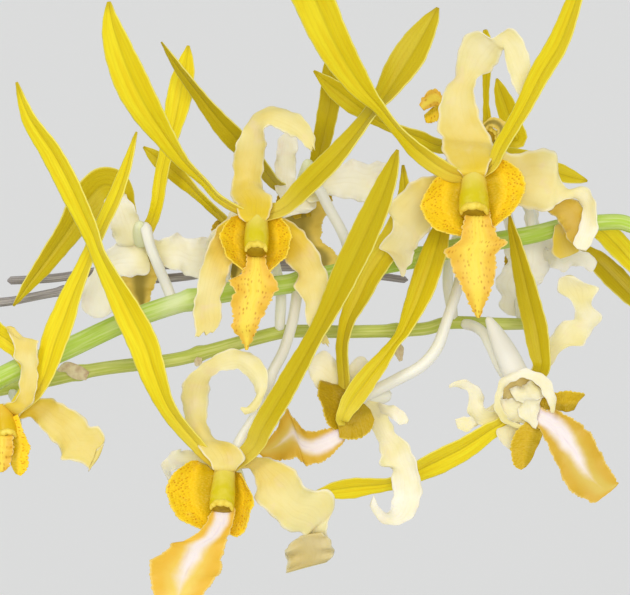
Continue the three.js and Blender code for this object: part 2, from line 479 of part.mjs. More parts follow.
      [[76, 21.6, 18.4, 1.4, 0], [76.6, 20.4, 19.6, 2.4, 0], [77.8, 19.8, 20.6, 2, 0],
        [78.6, 20.6, 20.6, 0.8, 0]],
      [[76, 21.8, 18.4, 1.4, 0], [74.4, 23.2, 19.6, 2.4, 0], [74, 25, 20.6, 2, 0],
        [74.8, 26.2, 20.6, 0.8, 0]],
    ],
    stems: [
      [[78.4, 25.4, 12.5, 1.6], [79, 27.6, 9.5, 1.2], [79.3, 29.4, 8, 0.7]],
      [[78.6, 25.2, 12, 1], [81.5, 28, 7, 0.9], [85.5, 31.5, 4.4, 0.9], [88.2, 34.8, 2.8, 0.9],
        [88.8, 38.6, 0.4, 0.9]],
    ],
  },
  h: {
    petals: [
      [[57.3, 61.3, -7.8, 2.6, 42], [57.2, 57.5, -8, 2.8, 48], [58, 53.7, -8, 3.4, 45],
        [59.7, 50, -7.2, 4.4, 35], [61.7, 45.8, -6.4, 5.2, 33], [64.2, 42, -5.6, 5, 33],
        [66.3, 38, -4.4, 4.4, 33], [67.5, 33, -3.6, 3, 35], [67.2, 27.5, -3.4, 0.5, 35]],
      [[61.3, 64.6, -8, 3.6, 20], [63.8, 61.6, -8.6, 3.4, 30], [65.8, 58.5, -8.8, 2.8, 50],
        [67.3, 55.3, -9, 3.2, 45], [69.2, 51.3, -9, 4.4, 35], [70.7, 47.5, -8.6, 5, 30],
        [72.2, 43, -7.4, 5, 30], [73.5, 38.7, -5.6, 3.8, 30], [74.6, 34.6, -4.6, 0.5, 30]],
    ],
    column: [[58.6, 66.2, -6.6, 1.5], [57.5, 69.2, -8.4, 1.5]],
    sepals: [
      [[56.3, 63.5, -3.8, 4.4, 0], [54.3, 61.9, -3.2, 5.2, 0], [52.6, 61.6, -2.6, 4, 0],
        [51.2, 62.5, -2, 1.4, 0]],
      [[59.4, 63.4, -3.4, 3.4, 0], [60.2, 61, -2.4, 3.4, 0], [61.2, 60.2, -2, 1.6, 0]],
      [[62.3, 69, -4.8, 4.4, 0], [64.6, 71.7, -5.4, 4.4, 0], [66.2, 74.7, -6, 4.8, 0],
        [67.3, 77.7, -6.6, 4.8, 0], [67.8, 81, -7, 4.6, 0], [67.5, 84, -6.8, 4, 0],
        [66.3, 86, -5.6, 3, 0], [64.3, 86.5, -4.4, 2.2, 0], [62.9, 85, -3.6, 1.6, 0],
        [62.4, 82.9, -3.4, 0.4, 0]],
    ],
    lip: [[56.4, 71.2, -8, 3, 0], [54.2, 72.4, -8, 4.6, 0], [51.2, 73.6, -7.6, 6.6, 0],
      [48.5, 74.6, -7, 7, 0], [46, 75.4, -6.4, 4.4, 0], [44.2, 76.1, -6, 0.8, 0]],
    lobes: [
      [[56, 71.2, -8, 2, 0], [55.2, 69, -8.2, 3.8, -10], [54.8, 66.8, -7.8, 3.8, -10],
        [56, 65, -7.2, 1.4, 0]],
      [[56.2, 71.6, -8, 2, 0], [58.6, 72.4, -8.4, 3.4, 10], [60.4, 71.4, -8.6, 3.2, 10],
        [61.2, 69.6, -8.4, 1.2, 0]],
    ],
    stems: [
      [[59.4, 66.6, -4.6, 1.6], [62, 66.4, -2.4, 1.5], [65.2, 65.6, -1, 1.2]],
      [[59.6, 66.4, -4.6, 1.1], [63.5, 64.6, -5, 1], [67, 62.8, -5.2, 1], [70.2, 61, -5, 1],
        [72.8, 58, -4.6, 1], [74.5, 53.3, -4, 0.9], [76.1, 48.5, -3, 0.9], [77, 44.5, -1.6, 0.9],
        [77.2, 42, -0.4, 0.9]],
    ],
  },
  i: {
    petals: [
      [[90.2, 61.5, -12.6, 2.8, 20], [90, 58.3, -11.8, 4, 25], [89.3, 54.2, -10, 4.4, 25],
        [88.3, 50, -10.6, 4.2, 30], [87.3, 45.8, -11, 3.8, 35], [86.3, 41.7, -11.4, 2.8, 40],
        [85.5, 38.4, -11.6, 1.8, 40], [84.9, 35.8, -11.8, 0.4, 40]],
      [[84.2, 70, -6.4, 2.4, 30], [81.7, 71.7, -5.4, 3.2, 30], [77.5, 74.5, -4, 4.4, 30],
        [73.3, 76.7, -2.6, 4.8, 30], [70, 78.3, -1.2, 4.4, 35], [66.7, 80, -0.2, 3.2, 45],
        [64, 80.7, -0.2, 2.8, 45], [61, 81, -0.8, 3.4, 30], [58.3, 81.3, -1.6, 4, 25],
        [55.3, 81.7, -2.4, 3.2, 25], [52, 82.3, -3, 0.4, 25]],
    ],
    column: [[88.6, 66.6, -10.6, 1.6], [90, 68.6, -11.6, 1.6]],
    sepals: [
      [[87.3, 70.2, -6.6, 3.6, 55], [84.3, 69.4, -7.6, 4.4, 62], [83, 66.4, -8.4, 4.6, 62],
        [84.2, 63.2, -9, 4.6, 62], [87.3, 61.9, -9.6, 4.4, 60], [90.4, 62.9, -10, 4, 58],
        [92, 65.6, -10.4, 3, 55], [92, 68.4, -10.8, 1, 50]],
      [[82.6, 67, -5.4, 4.2, 0], [79.6, 67.2, -5.2, 6, 0], [77.2, 67.2, -5.2, 7.2, 0],
        [75.6, 66.4, -5.6, 3.6, 0]],
      [[90.8, 60.6, -6.2, 3.8, 0], [93.3, 56.9, -6, 6.2, 0], [96.3, 54.7, -6, 6, 0],
        [98.5, 52, -6.5, 4.2, 0], [98.8, 49.5, -7, 3.2, 0], [97, 47.6, -7.5, 2.6, 0],
        [94.8, 46.5, -8, 1.6, 0], [93.4, 46.1, -8.5, 0.5, 0]],
    ],
    lip: [[90.6, 70.6, -11, 2.4, 0], [92.3, 72, -11.4, 4.4, 0], [94.3, 74, -11.8, 6, 0],
      [96.7, 76.8, -12.2, 7.6, 0], [99, 79.8, -12.4, 7.6, 0], [100.8, 82, -12.4, 4.6, 0],
      [101.8, 83.2, -12.4, 1.2, 0]],
    lobes: [
      [[91.2, 70.8, -11, 1.8, 0], [93.4, 67.8, -10.6, 3.2, 0], [95.4, 66.7, -10.2, 3.4, 0],
        [97, 66.3, -9.8, 1.2, 0]],
      [[90.8, 71.2, -11, 1.8, 0], [88.6, 73.2, -10.6, 3.8, 0], [87.8, 75.5, -10.2, 4.2, 0],
        [87.8, 77.8, -9.8, 1.4, 0]],
    ],
    stems: [
      [[87.2, 65, -6.4, 2.2], [84.6, 59.4, -5, 2], [82.6, 55.4, -3.8, 1.3], [81.2, 52.8, -3, 0.5]],
      [[86.6, 65.6, -6, 1.1], [83.6, 61.6, -2.8, 0.9], [81.8, 57.8, 0, 0.9], [80.6, 55.6, 2.6, 0.9],
        [79, 54.4, 4.6, 0.9], [77, 53.9, 6.4, 0.9]],
    ],
  },
  j: {
    petals: [
      [[95.5, 39.2, 9.5, 2.6, 20], [99.5, 38.2, 7, 3.4, 20], [102.5, 40.5, 5.8, 4.4, 20],
        [105.5, 44, 5, 3.6, 20], [107.5, 47, 5, 0.4, 20]],
      [[95.5, 42, 10.4, 2.6, 25], [99, 43.2, 9, 3.4, 20], [102, 46, 8.6, 4.4, 20],
        [105.3, 49.5, 8.4, 3.6, 20], [108, 53, 8.4, 0.4, 20]],
    ],
    column: [[90.8, 41.8, 14.5, 1.6], [90.8, 43.2, 19, 1.6]],
    sepals: [
      [[87.5, 42.5, 12, 6, 0], [84.8, 44.5, 11.5, 6.8, 0], [83.5, 47.5, 11.5, 4.6, 0],
        [84, 50.3, 12, 1.4, 0]],
      [[90.5, 38, 13, 4.6, 0], [90.8, 35, 13, 4.2, 0], [91.5, 32.5, 13, 1, 0]],
      [[93.5, 43.4, 13, 4.2, 0], [96, 44.2, 13.6, 4.4, 0], [98.8, 44.4, 13.6, 1.2, 0]],
    ],
    lip: [[90.8, 45.2, 18.4, 2.6, 0], [90.8, 46.6, 18.4, 4, 0], [90.8, 48.4, 18.4, 4.4, 0],
      [90.8, 50.4, 18, 0.8, 0]],
    lobes: [
      [[90.5, 46, 18.4, 1.6, 0], [88.7, 45, 19.4, 2.4, 0], [88.1, 43, 20.4, 1.8, 0],
        [88.5, 41.8, 20.4, 0.8, 0]],
      [[91.1, 46, 18.4, 1.6, 0], [92.9, 45, 19.4, 2.4, 0], [93.5, 43, 20.4, 1.8, 0],
        [93.1, 41.8, 20.4, 0.8, 0]],
    ],
    stems: [
      [[90.8, 42, 12, 1.6], [91, 44.4, 9.5, 1.2], [91.2, 46.2, 8.6, 0.7]],
      [[90.6, 42.2, 12, 1], [90, 45.5, 10, 0.9], [89, 49, 8, 0.9], [88.8, 51.6, 7, 0.9],
        [88.9, 53.8, 7, 0.8]],
    ],
  },
  k: {
    petals: [
      [[81, 16.5, 25, 2.6, 62], [81.2, 10.5, 22.5, 2.6, 66], [81.3, 4.6, 20, 0.4, 66]],
      [[84, 19.4, 26, 2.8, 30], [84.2, 16, 24, 2.4, 20], [82.8, 13.2, 23, 0.5, 20]],
    ],
    column: [[81.5, 22.6, 27.9, 1.4], [81.4, 22.8, 24.6, 1.4]],
    sepals: [
      [[84, 25, 30, 3.4, 0], [85.5, 28, 30.5, 2.8, 0], [86, 30.5, 30.5, 0.8, 0]],
      [[79.5, 26, 30, 3.4, 0], [79.5, 29, 30.5, 2.8, 0], [80, 31.5, 30.5, 0.8, 0]],
      [[78, 20.4, 30, 3.4, 0], [75.5, 19.7, 30.5, 2.8, 0], [73.5, 20, 30.5, 0.8, 0]],
    ],
    lip: [[81.4, 22.4, 23.6, 2, 0], [80.6, 21, 23.2, 3, 0], [81.5, 19.6, 22.8, 3.2, 0],
      [83.3, 20.3, 22.6, 2.6, 0], [83.6, 22.3, 22.6, 0.8, 0]],
    lobes: [],
    stems: [
      [[81.5, 22.6, 28.2, 1.2], [81.6, 24, 31, 1], [81.7, 25.2, 33, 0.7]],
      [[81.5, 22.6, 28.6, 1], [82.6, 28, 32, 0.9], [84.6, 36, 31, 0.9], [86.4, 44, 28, 0.9],
        [87, 50, 20, 0.9], [87, 52.6, 12, 0.9], [87, 54, 7, 0.9]],
    ],
  },
  m: {
    petals: [
      [[34.2, 33.5, 18.5, 2.2, 50], [31.7, 31, 20.5, 2.6, 40], [28.7, 28.3, 22.5, 3.6, 15],
        [26, 26.2, 23.5, 2.6, 10], [23.9, 24.5, 24, 0.4, 10]],
      [[42, 34, 17, 2.6, 30], [44, 31, 17.5, 3, 20], [44.6, 27.5, 18, 2.4, 20],
        [44.8, 24.5, 18.5, 0.4, 20]],
    ],
    column: [[38.7, 37, 17, 1.4], [38.8, 38.4, 21, 1.4]],
    sepals: [
      [[38.8, 33.4, 15.5, 3.4, 0], [39.3, 29.8, 16, 3, 0], [40, 26.8, 16.5, 0.8, 0]],
      [[36.8, 40, 15.5, 4, 0], [36, 43, 16, 3.4, 0], [36.2, 46, 16, 0.8, 0]],
      [[40.8, 40, 15.5, 3.8, 0], [41.4, 43, 16, 3.4, 0], [41.4, 46, 16, 0.8, 0]],
    ],
    lip: [[38.8, 40.2, 20.6, 2.4, 0], [38.8, 42, 20.6, 3.6, 0], [38.9, 44, 20.6, 4, 0],
      [39, 46.6, 20, 0.8, 0]],
    lobes: [
      [[38.6, 41.2, 20.6, 1.6, 0], [36.7, 40, 21.6, 2.4, 0], [36.2, 38, 22.4, 1.8, 0],
        [36.6, 36.8, 22.4, 0.8, 0]],
      [[39, 41.2, 20.6, 1.6, 0], [40.9, 40, 21.6, 2.4, 0], [41.4, 38, 22.4, 1.8, 0],
        [41, 36.8, 22.4, 0.8, 0]],
    ],
    stems: [
      [[38.7, 37.2, 14.5, 1.4], [38.8, 39.4, 12, 1.1], [38.9, 41, 11, 0.7]],
      [[38.6, 37.2, 14, 1], [38.2, 41, 10, 0.9], [37.6, 45, 5, 0.9], [37.3, 48.8, 0.6, 0.9]],
    ],
  },
};

// Canes: points from the foot up, each with a radius, then how many leaves, the height share
// where they start and the side that the first one grows to, in degrees
const CANES = [
  {
    path: [[11, -6, 70], [13, -7, 130], [15, -8, 210], [20, -9, 285], [28, -10, 348]],
    leaves: 5, from: 0.34, side: 200,
  },
  {
    path: [[-14, 6, 70], [-22, 8, 130], [-34, 12, 210], [-48, 17, 275], [-60, 22, 328]],
    leaves: 5, from: 0.3, side: 80,
  },
  {
    path: [[4, 22, 70], [4, 32, 125], [2, 48, 190], [-2, 66, 250], [-6, 80, 292]],
    leaves: 5, from: 0.3, side: 10,
  },
  {
    path: [[-10, -20, 70], [-18, -30, 120], [-30, -44, 175], [-42, -58, 220], [-50, -68, 252]],
    leaves: 5, from: 0.36, side: 66,
  },
  {
    path: [[24, 16, 70], [34, 24, 115], [48, 34, 165], [62, 44, 210], [72, 52, 238]],
    leaves: 5, from: 0.36, side: 110,
  },
];
function cane({ path }, grow = 0) {
  const points = path.map((point) => new THREE.Vector3(...point));
  return stem(points, CANE_RADII, CANE_SIDES, CANE_STEPS, grow);
}

// One arching leaf from a point on a cane, out towards a compass side
function leaf(foot, compass, length, rise, grow = 0) {
  const out = new THREE.Vector3(Math.cos(compass), Math.sin(compass), 0);
  const wide = new THREE.Vector3(-Math.sin(compass), Math.cos(compass), 0);
  const rings = LEAF_SHARES.map((share, i) => {
    const middle = foot.clone().addScaledVector(out, length * share);
    middle.z += length * (rise * share - LEAF_DROOP * share * share);
    const half = (LEAF_WIDTH * LEAF_WIDTHS[i]) / 2 + grow;
    const fold = half * LEAF_FOLD;
    const thick = LEAF_THICK / 2 + grow;
    const at = (s, lift) => {
      const point = middle.clone().addScaledVector(wide, s * half);
      point.z += Math.abs(s) * fold + lift;
      return point;
    };
    return [at(-1, thick), at(0, thick), at(1, thick), at(1, -thick), at(0, -thick), at(-1, -thick)];
  });
  return loft(rings);
}

// Cane with leaves to either side in turn, the middle ones longest and the upper ones steepest
function leafyCane(plan, grow = 0) {
  const curve = new THREE.CatmullRomCurve3(plan.path.map((point) => new THREE.Vector3(...point)));
  const leaves = Array.from({ length: plan.leaves }, (_, i) => {
    const share = plan.from + ((LAST_LEAF - plan.from) * i) / (plan.leaves - 1);
    const compass = THREE.MathUtils.degToRad(plan.side + (i % 2) * 180 + (i % 3) * LEAF_STRAY);
    const length = LEAF_LENGTH * THREE.MathUtils.lerp(...LENGTH_RANGE, Math.sin(Math.PI * share));
    return leaf(curve.getPoint(share), compass, length, THREE.MathUtils.lerp(...RISE_RANGE, share), grow);
  });
  return join([cane(plan, grow), ...leaves]);
}

// Body turned about the pot's axis, from corners of [radius, height]
function turned(corners) {
  const outline = corners.map(([radius, height]) => new THREE.Vector2(radius, height));
  return solidOf(new THREE.LatheGeometry(outline, POT_SIDES).rotateX(Math.PI / 2));
}

// Radius of the pot's outside at a height under the rim band
const RIM_FOOT = POT_HEIGHT - RIM_HEIGHT;
const potRadius = (height) => POT_FOOT_RADIUS + ((POT_RADIUS - POT_FOOT_RADIUS) * height) / RIM_FOOT;

// Pot: a turned wall with a rim band, and drain holes through its floor
function pot() {
  const rim = POT_RADIUS + RIM_OUT;
  const wall = turned([
    [0, 0], [POT_FOOT_RADIUS, 0], [POT_RADIUS, RIM_FOOT], [rim - RIM_ROUND / 2, RIM_FOOT],
    [rim, RIM_FOOT + RIM_ROUND], [rim, POT_HEIGHT - RIM_ROUND], [rim - RIM_ROUND, POT_HEIGHT],
    [POT_RADIUS, POT_HEIGHT], [potRadius(RIM_FOOT) - POT_WALL, RIM_FOOT],
    [potRadius(POT_FLOOR) - POT_WALL, POT_FLOOR], [0, POT_FLOOR],
  ]);
  const holes = Array.from({ length: DRAIN_HOLES }, (_, i) => {
    const angle = (2 * Math.PI * (i + 0.5)) / DRAIN_HOLES;
    const drill = new THREE.CylinderGeometry(DRAIN_RADIUS, DRAIN_RADIUS, 4 * POT_FLOOR, 8);
    drill.rotateX(Math.PI / 2).translate(DRAIN_CIRCLE * Math.cos(angle), DRAIN_CIRCLE * Math.sin(angle), 0);
    return solidOf(drill);
  });
  return wall.subtract(join(holes));
}

// Steady made-up numbers from 0 to 1, the same each time
function draws(seed) {
  let state = seed;
  return () => {
    state = (state * 16807) % 2147483647;
    return state / 2147483647;
  };
}

// Bark mix: a body that fills the pot, chips standing out of its top, and a plain hole for each cane
function barkMix(canes) {
  const bottom = POT_FLOOR + SEAT;
  const inside = (height) => potRadius(height) - POT_WALL - SEAT;
  const body = turned([
    [0, bottom], [inside(bottom), bottom], [inside(RIM_FOOT), RIM_FOOT], [inside(RIM_FOOT), BARK_TOP],
    [0, BARK_TOP + BARK_MOUND],
  ]);
  const draw = draws(CHIP_SEED);
  const chips = Array.from({ length: CHIPS }, (_, i) => {
    const reach = (inside(RIM_FOOT) - CHIP_SIZE[0] * CHIP_RANGE[0]) * Math.sqrt((i + 0.5) / CHIPS);
    const angle = i * GOLDEN_ANGLE;
    const size = CHIP_SIZE.map((side) => side * THREE.MathUtils.lerp(...CHIP_RANGE, draw()));
    const turn = new THREE.Euler((draw() - 0.5) * CHIP_TILT, (draw() - 0.5) * CHIP_TILT, draw() * Math.PI);
    const place = new THREE.Matrix4().makeRotationFromEuler(turn);
    place.setPosition(reach * Math.cos(angle), reach * Math.sin(angle), BARK_TOP + draw() * BARK_MOUND);
    return solidOf(new THREE.BoxGeometry(...size), place);
  });
  return join([body, ...chips]).subtract(join(canes));
}

// The largest body of a solid, with its needless corners gone
const whole = (shape) => shape.simplify(FINE).decompose().sort((a, b) => b.volume() - a.volume())[0];

function toMesh(name, shape, look) {
  const { numProp, vertProperties, triVerts } = shape.getMesh();
  const position = [];
  for (let k = 0; k < vertProperties.length; k += numProp) {
    position.push(vertProperties[k], vertProperties[k + 1], vertProperties[k + 2]);
  }
  const geometry = new THREE.BufferGeometry();
  geometry.setAttribute("position", new THREE.Float32BufferAttribute(position, 3));
  geometry.setIndex([...triVerts]);
  geometry.computeVertexNormals();
  const mesh = new THREE.Mesh(geometry, look);
  mesh.name = name;
  return mesh;
}

// Pieces are added in turn. Each is cut back from those before it, which were grown by the seat.
const plant = new THREE.Group();
const placed = [];
const meets = (a, b) => [0, 1, 2].every((k) => a.min[k] < b.max[k] && b.min[k] < a.max[k]);

function place(name, look, build) {
  const raw = build(0).simplify(ROUGH);
  const box = raw.boundingBox();
  const near = placed.filter((other) => meets(box, other.box)).map((other) => other.grown);
  const shape = whole(near.length ? raw.subtract(join(near)) : raw);
  const grown = build(SEAT).simplify(ROUGH);
  placed.push({ grown, box: grown.boundingBox() });
  plant.add(toMesh(name, shape, look));
}

// Blade that grows from a place in its bloom's middle
const rooted = ([across, down, back], rows, shape, grow) =>
  blade([[across, down, back, ROOT_WIDTH, rows[0][4]], ...rows], shape, grow);

// Stalk through points in space and then along rows on the spray's sheet
function stalk(start, rows, grow) {
  const points = [...start.map((point) => new THREE.Vector3(...point)), ...rows.map((row) => spot(row))];
  const radii = [...start.map(() => rows[0][3] + FOOT_EXTRA), ...rows.map((row) => row[3])];
  return stem(points, radii, STEM_SIDES, points.length, grow);
}

// Petals and column, sepals with spur and stem, and lip of one bloom
function addBloom(letter, { petals, column, sepals, stems, lip, lobes }) {
  const heart = column[0].map((value, k) => (value + column[1][k]) / 2);
  place(`bloom_${letter}_sepals`, CREAM, (grow) => join([
    ...sepals.map((rows) => rooted(stems[0][0], rows, SEPAL, grow)),
    ...stems.map((rows) => tube(rows, grow)),
  ]));
  place(`bloom_${letter}_petals`, GOLD, (grow) => join([
    ...petals.map((rows) => rooted(heart, rows, PETAL, grow)),
    tube(column, grow),
  ]));
  place(`bloom_${letter}_lip`, ORANGE, (grow) => join([
    blade(lip, LIP, grow),
    ...lobes.map((rows) => blade(rows, SIDE_LOBE, grow)),
  ]));
}

plant.add(toMesh("pot", pot(), CLAY));
plant.add(toMesh("bark_mix", whole(barkMix(CANES.map((plan) => cane(plan, SEAT)))), BARK));
CANES.forEach((plan, i) => place(`leafy_cane_${i + 1}`, LEAF, (grow) => leafyCane(plan, grow)));
place("front_flower_stalk", STALK, (grow) => stalk(FRONT_STALK_START, FRONT_STALK, grow));
place("back_flower_stalk", STALK, (grow) => stalk(BACK_STALK_START, BACK_STALK, grow));
place("old_stalk_long", OLD_STALK, (grow) => stalk(OLD_STALK_START, OLD_STALK_LONG, grow));
place("old_stalk_short", OLD_STALK, (grow) => tube(OLD_STALK_SHORT, grow));
Object.entries(BLOOMS).forEach(([letter, bloom]) => addBloom(letter, bloom));
BUDS.forEach((rows, i) => place(`bud_${i + 1}`, STALK, (grow) => tube(rows, grow)));

export default plant;
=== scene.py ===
"""Finished pieces of a potted dendrobium orchid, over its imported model.

The spray's places are read off an upright sheet that leans back a little: millimetres across, down and
back, seen from one metre in front. Meshes are worked out in millimetres and stored in metres.
"""

import logging
import math
from dataclasses import dataclass, field, replace
from enum import Enum
from typing import Optional, Sequence, Union

import bpy
import numpy as np
from mathutils import Matrix, Vector


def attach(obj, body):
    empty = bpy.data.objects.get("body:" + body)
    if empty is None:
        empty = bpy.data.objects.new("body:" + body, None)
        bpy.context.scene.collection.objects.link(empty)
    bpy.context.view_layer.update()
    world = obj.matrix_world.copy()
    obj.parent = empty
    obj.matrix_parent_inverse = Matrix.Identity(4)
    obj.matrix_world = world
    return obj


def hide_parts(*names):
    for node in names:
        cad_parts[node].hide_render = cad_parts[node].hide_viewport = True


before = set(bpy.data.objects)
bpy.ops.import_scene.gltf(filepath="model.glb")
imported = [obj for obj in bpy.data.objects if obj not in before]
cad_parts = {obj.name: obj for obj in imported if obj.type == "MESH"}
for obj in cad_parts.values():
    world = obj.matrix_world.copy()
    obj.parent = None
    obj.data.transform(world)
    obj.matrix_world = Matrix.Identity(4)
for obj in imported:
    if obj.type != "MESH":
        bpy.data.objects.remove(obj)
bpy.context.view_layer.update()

LOG = logging.getLogger("orchid")
MM = 0.001
SIXTHS = 6
STEM_RIBS = 5
BODY = "root"

Row = Sequence[float]
Socket = bpy.types.NodeSocket
Material = bpy.types.Material
Piece = bpy.types.Object
Grid = np.ndarray
Colour = tuple[float, float, float]
Feeds = dict[Union[str, int], object]


class UvLayer(Enum):
    """UV maps of a skin."""

    SHARE = "share"
    """Across and along, each from 0 to 1."""
    SIZE = "size"
    """Across from the middle and along from the foot, in units of ten millimetres."""


class LipLook(Enum):
    """How a lip's middle lobe is coloured."""

    SPOTTED = "spotted"
    BANDED = "banded"
    PLAIN = "plain"


class Slot(Enum):
    """Material slots."""

    CLAY = "clay"
    BARK = "bark"
    LEAF = "leaf"
    STALK = "stalk"
    OLD_STALK = "old_stalk"
    PETAL = "petal"
    SEPAL = "sepal"
    LIP = "lip"


def colour(code: str) -> Colour:
    """Linear colour of a hex code.

    Args:
        code: Six hex digits.

    Returns:
        Red, green and blue for a shader socket.
    """
    parts = [int(code[k : k + 2], 16) / 255 for k in (0, 2, 4)]
    return tuple(((p + 0.055) / 1.055) ** 2.4 if p > 0.04045 else p / 12.92 for p in parts)


@dataclass(frozen=True)
class Sheet:
    """Upright sheet that the spray's places are given on, in millimetres."""

    middle: tuple[float, float, float] = (165, -20, 395)
    half_width: float = 52.5
    half_height: float = 49.6
    read_from: float = 1000
    lean: float = math.radians(5.5)

    @property
    def to_back(self) -> Grid:
        """Direction away from the viewer."""
        return np.array([0, math.cos(self.lean), -math.sin(self.lean)])

    @property
    def to_top(self) -> Grid:
        """Direction up the sheet."""
        return np.array([0, math.sin(self.lean), math.cos(self.lean)])

    def places(self, rows: Sequence[Row]) -> Grid:
        """Points in space for rows on the sheet.

        Args:
            rows: Rows that begin with across, down and back.

        Returns:
            One point for each row.
        """
        across, down, back = np.array([row[:3] for row in rows], float).T
        spread = 1 + back / self.read_from
        return (
            np.array(self.middle)
            + np.outer((across - self.half_width) * spread, [1, 0, 0])
            + np.outer((self.half_height - down) * spread, self.to_top)
            + np.outer(back, self.to_back)
        )


SHEET = Sheet()


def smooth(values: Grid, steps: int) -> Grid:
    """Even steps along a smooth curve through rows of numbers.

    Args:
        values: The rows that the curve runs through.
        steps: How many steps to take.

    Returns:
        One row more than there are steps.
    """
    ends = np.vstack([2 * values[0] - values[1], values, 2 * values[-1] - values[-2]])
    at = np.linspace(0, len(values) - 1, steps + 1)
    i = np.minimum(at.astype(int), len(values) - 2)
    t = (at - i)[:, None]
    a, b, c, d = ends[i], ends[i + 1], ends[i + 2], ends[i + 3]
    return 0.5 * (2 * b + (c - a) * t + (2 * a - 5 * b + 4 * c - d) * t**2 + (3 * b - a - 3 * c + d) * t**3)


def unit(vectors: Grid) -> Grid:
    """Vectors at length one."""
    return vectors / np.maximum(np.linalg.norm(vectors, axis=-1, keepdims=True), 1e-9)


def run_length(points: Grid) -> Grid:
    """Distance along a path at each of its points."""
    return np.concatenate([[0], np.cumsum(np.linalg.norm(np.diff(points, axis=0), axis=1))])


def ease(value: Grid) -> Grid:
    """Soft step from 0 to 1."""
    value = np.clip(value, 0, 1)
    return value * value * (3 - 2 * value)


def pairs(first: Grid, second: Grid) -> Grid:
    """Two grids of numbers, spread to one size, as a grid of pairs."""
    return np.stack(np.broadcast_arrays(first, second), -1)


def put(name: str, data: bpy.types.ID) -> Piece:
    """New object in the scene that holds some data."""
    made = bpy.data.objects.new(name, data)
    bpy.context.scene.collection.objects.link(made)
    return made


def dress(piece: Piece, slot: Slot, *nodes: str) -> Piece:
    """Puts a piece on the plant, in the place of its nodes, which it hides.

    Args:
        piece: The piece.
        slot: Its material slot; not used.
        *nodes: Nodes that it stands for, if any.

    Returns:
        The same piece.
    """
    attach(piece, BODY)
    if nodes:
        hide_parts(*nodes)
    return piece


@dataclass
class Skin:
    """Closed skins that become one mesh, in millimetres."""

    name: str
    parts: list[tuple[Grid, ...]] = field(default_factory=list)
    count: int = 0

    def add_rings(self, rings: Grid, share: Grid, size: Grid, look: int, warm: Grid) -> None:
        """Adds a closed skin over a row of rings.

        Args:
            rings: Points by ring and by place in the ring.
            share: UV by ring and place, with one place more where the ring closes.
            size: UV in tens of millimetres, laid out like share.
            look: Index of the material.
            warm: Warmth of the colour at each ring, from 0 to 1; on petals, lobes, lips and the sheets of a
                roll's inside it also sets painted shade.
        """
        n, k = rings.shape[:2]
        i, j = np.meshgrid(np.arange(n - 1), np.arange(k), indexing="ij")
        corners = [(i, j), (i, j + 1), (i + 1, j + 1), (i + 1, j)]
        quads = np.stack([a * k + b % k for a, b in corners], -1).reshape(-1, 4)
        both = np.concatenate([share, size], -1)
        uv = np.stack([both[a, b] for a, b in corners], -2).reshape(-1, 4, 4)
        m = np.arange(k // 2 - 1)
        cap = np.stack([m, m + 1, k - 2 - m, k - 1 - m], -1)
        for ring, corner in ((0, cap[:, ::-1]), (n - 1, cap)):
            quads = np.vstack([quads, corner + ring * k])
            uv = np.concatenate([uv, both[ring, corner]])
        flat = rings.reshape(-1, 3)
        a, b, c, d = (flat[quads[:, q]] - flat[0] for q in range(4))
        if np.einsum("ij,ij->i", a, np.cross(b, c) + np.cross(c, d)).sum() < 0:
            quads, uv = quads[:, ::-1], uv[:, ::-1]
        self.parts.append((flat, quads + self.count, uv, np.full(len(quads), look), np.repeat(warm, k)))
        self.count += len(flat)

    def build(self, materials: Sequence[Material]) -> Piece:
        """Makes the object of everything added.

        Args:
            materials: The materials, in the order of their indices.

        Returns:
            A smooth shaded object at the origin.
        """
        points, quads, uv, looks, warmth = (np.concatenate(part) for part in zip(*self.parts))
        mesh = bpy.data.meshes.new(self.name)
        mesh.from_pydata((points * MM).tolist(), [], quads.tolist())
        for layer, values in ((UvLayer.SHARE, uv[..., :2]), (UvLayer.SIZE, uv[..., 2:])):
            made = mesh.uv_layers.new(name=layer.value)
            made.data.foreach_set("uv", values.astype(np.float32).ravel())
        warm = mesh.attributes.new("warm", "FLOAT", "POINT")
        warm.data.foreach_set("value", warmth.astype(np.float32))
        mesh.polygons.foreach_set("material_index", looks.astype(np.int32))
        mesh.polygons.foreach_set("use_smooth", np.ones(len(quads), bool))
        for material in materials:
            mesh.materials.append(material)
        return put(self.name, mesh)


def softened(values: Grid, reach: float) -> Grid:
    """Evens out rows of numbers.

    Args:
        values: The rows.
        reach: How far each is evened out, counted in rows.

    Returns:
        As many rows.
    """
    if reach <= 0:
        return values
    half = round(3 * reach)
    weights = np.exp(-((np.arange(-half, half + 1) / reach) ** 2) / 2)
    padded = np.pad(values, ((half, half), (0, 0)), mode="reflect", reflect_type="odd")
    even = [np.convolve(column, weights / weights.sum(), mode="valid") for column in padded.T]
    return np.column_stack(even)


@dataclass(frozen=True)
class Ribbon:
    """Course of a blade in space, station by station, in millimetres."""

    middle: Grid
    wide: Grid
    face: Grid
    width: Grid

    def away_from(self, point: Grid) -> "Ribbon":
        """The same course, with its right side the one that is farther from a point."""
        half = len(self.middle) // 2
        turned = self.wide[half] @ (self.middle[half] - point) < 0
        return Ribbon(self.middle, -self.wide if turned else self.wide, self.face, self.width)


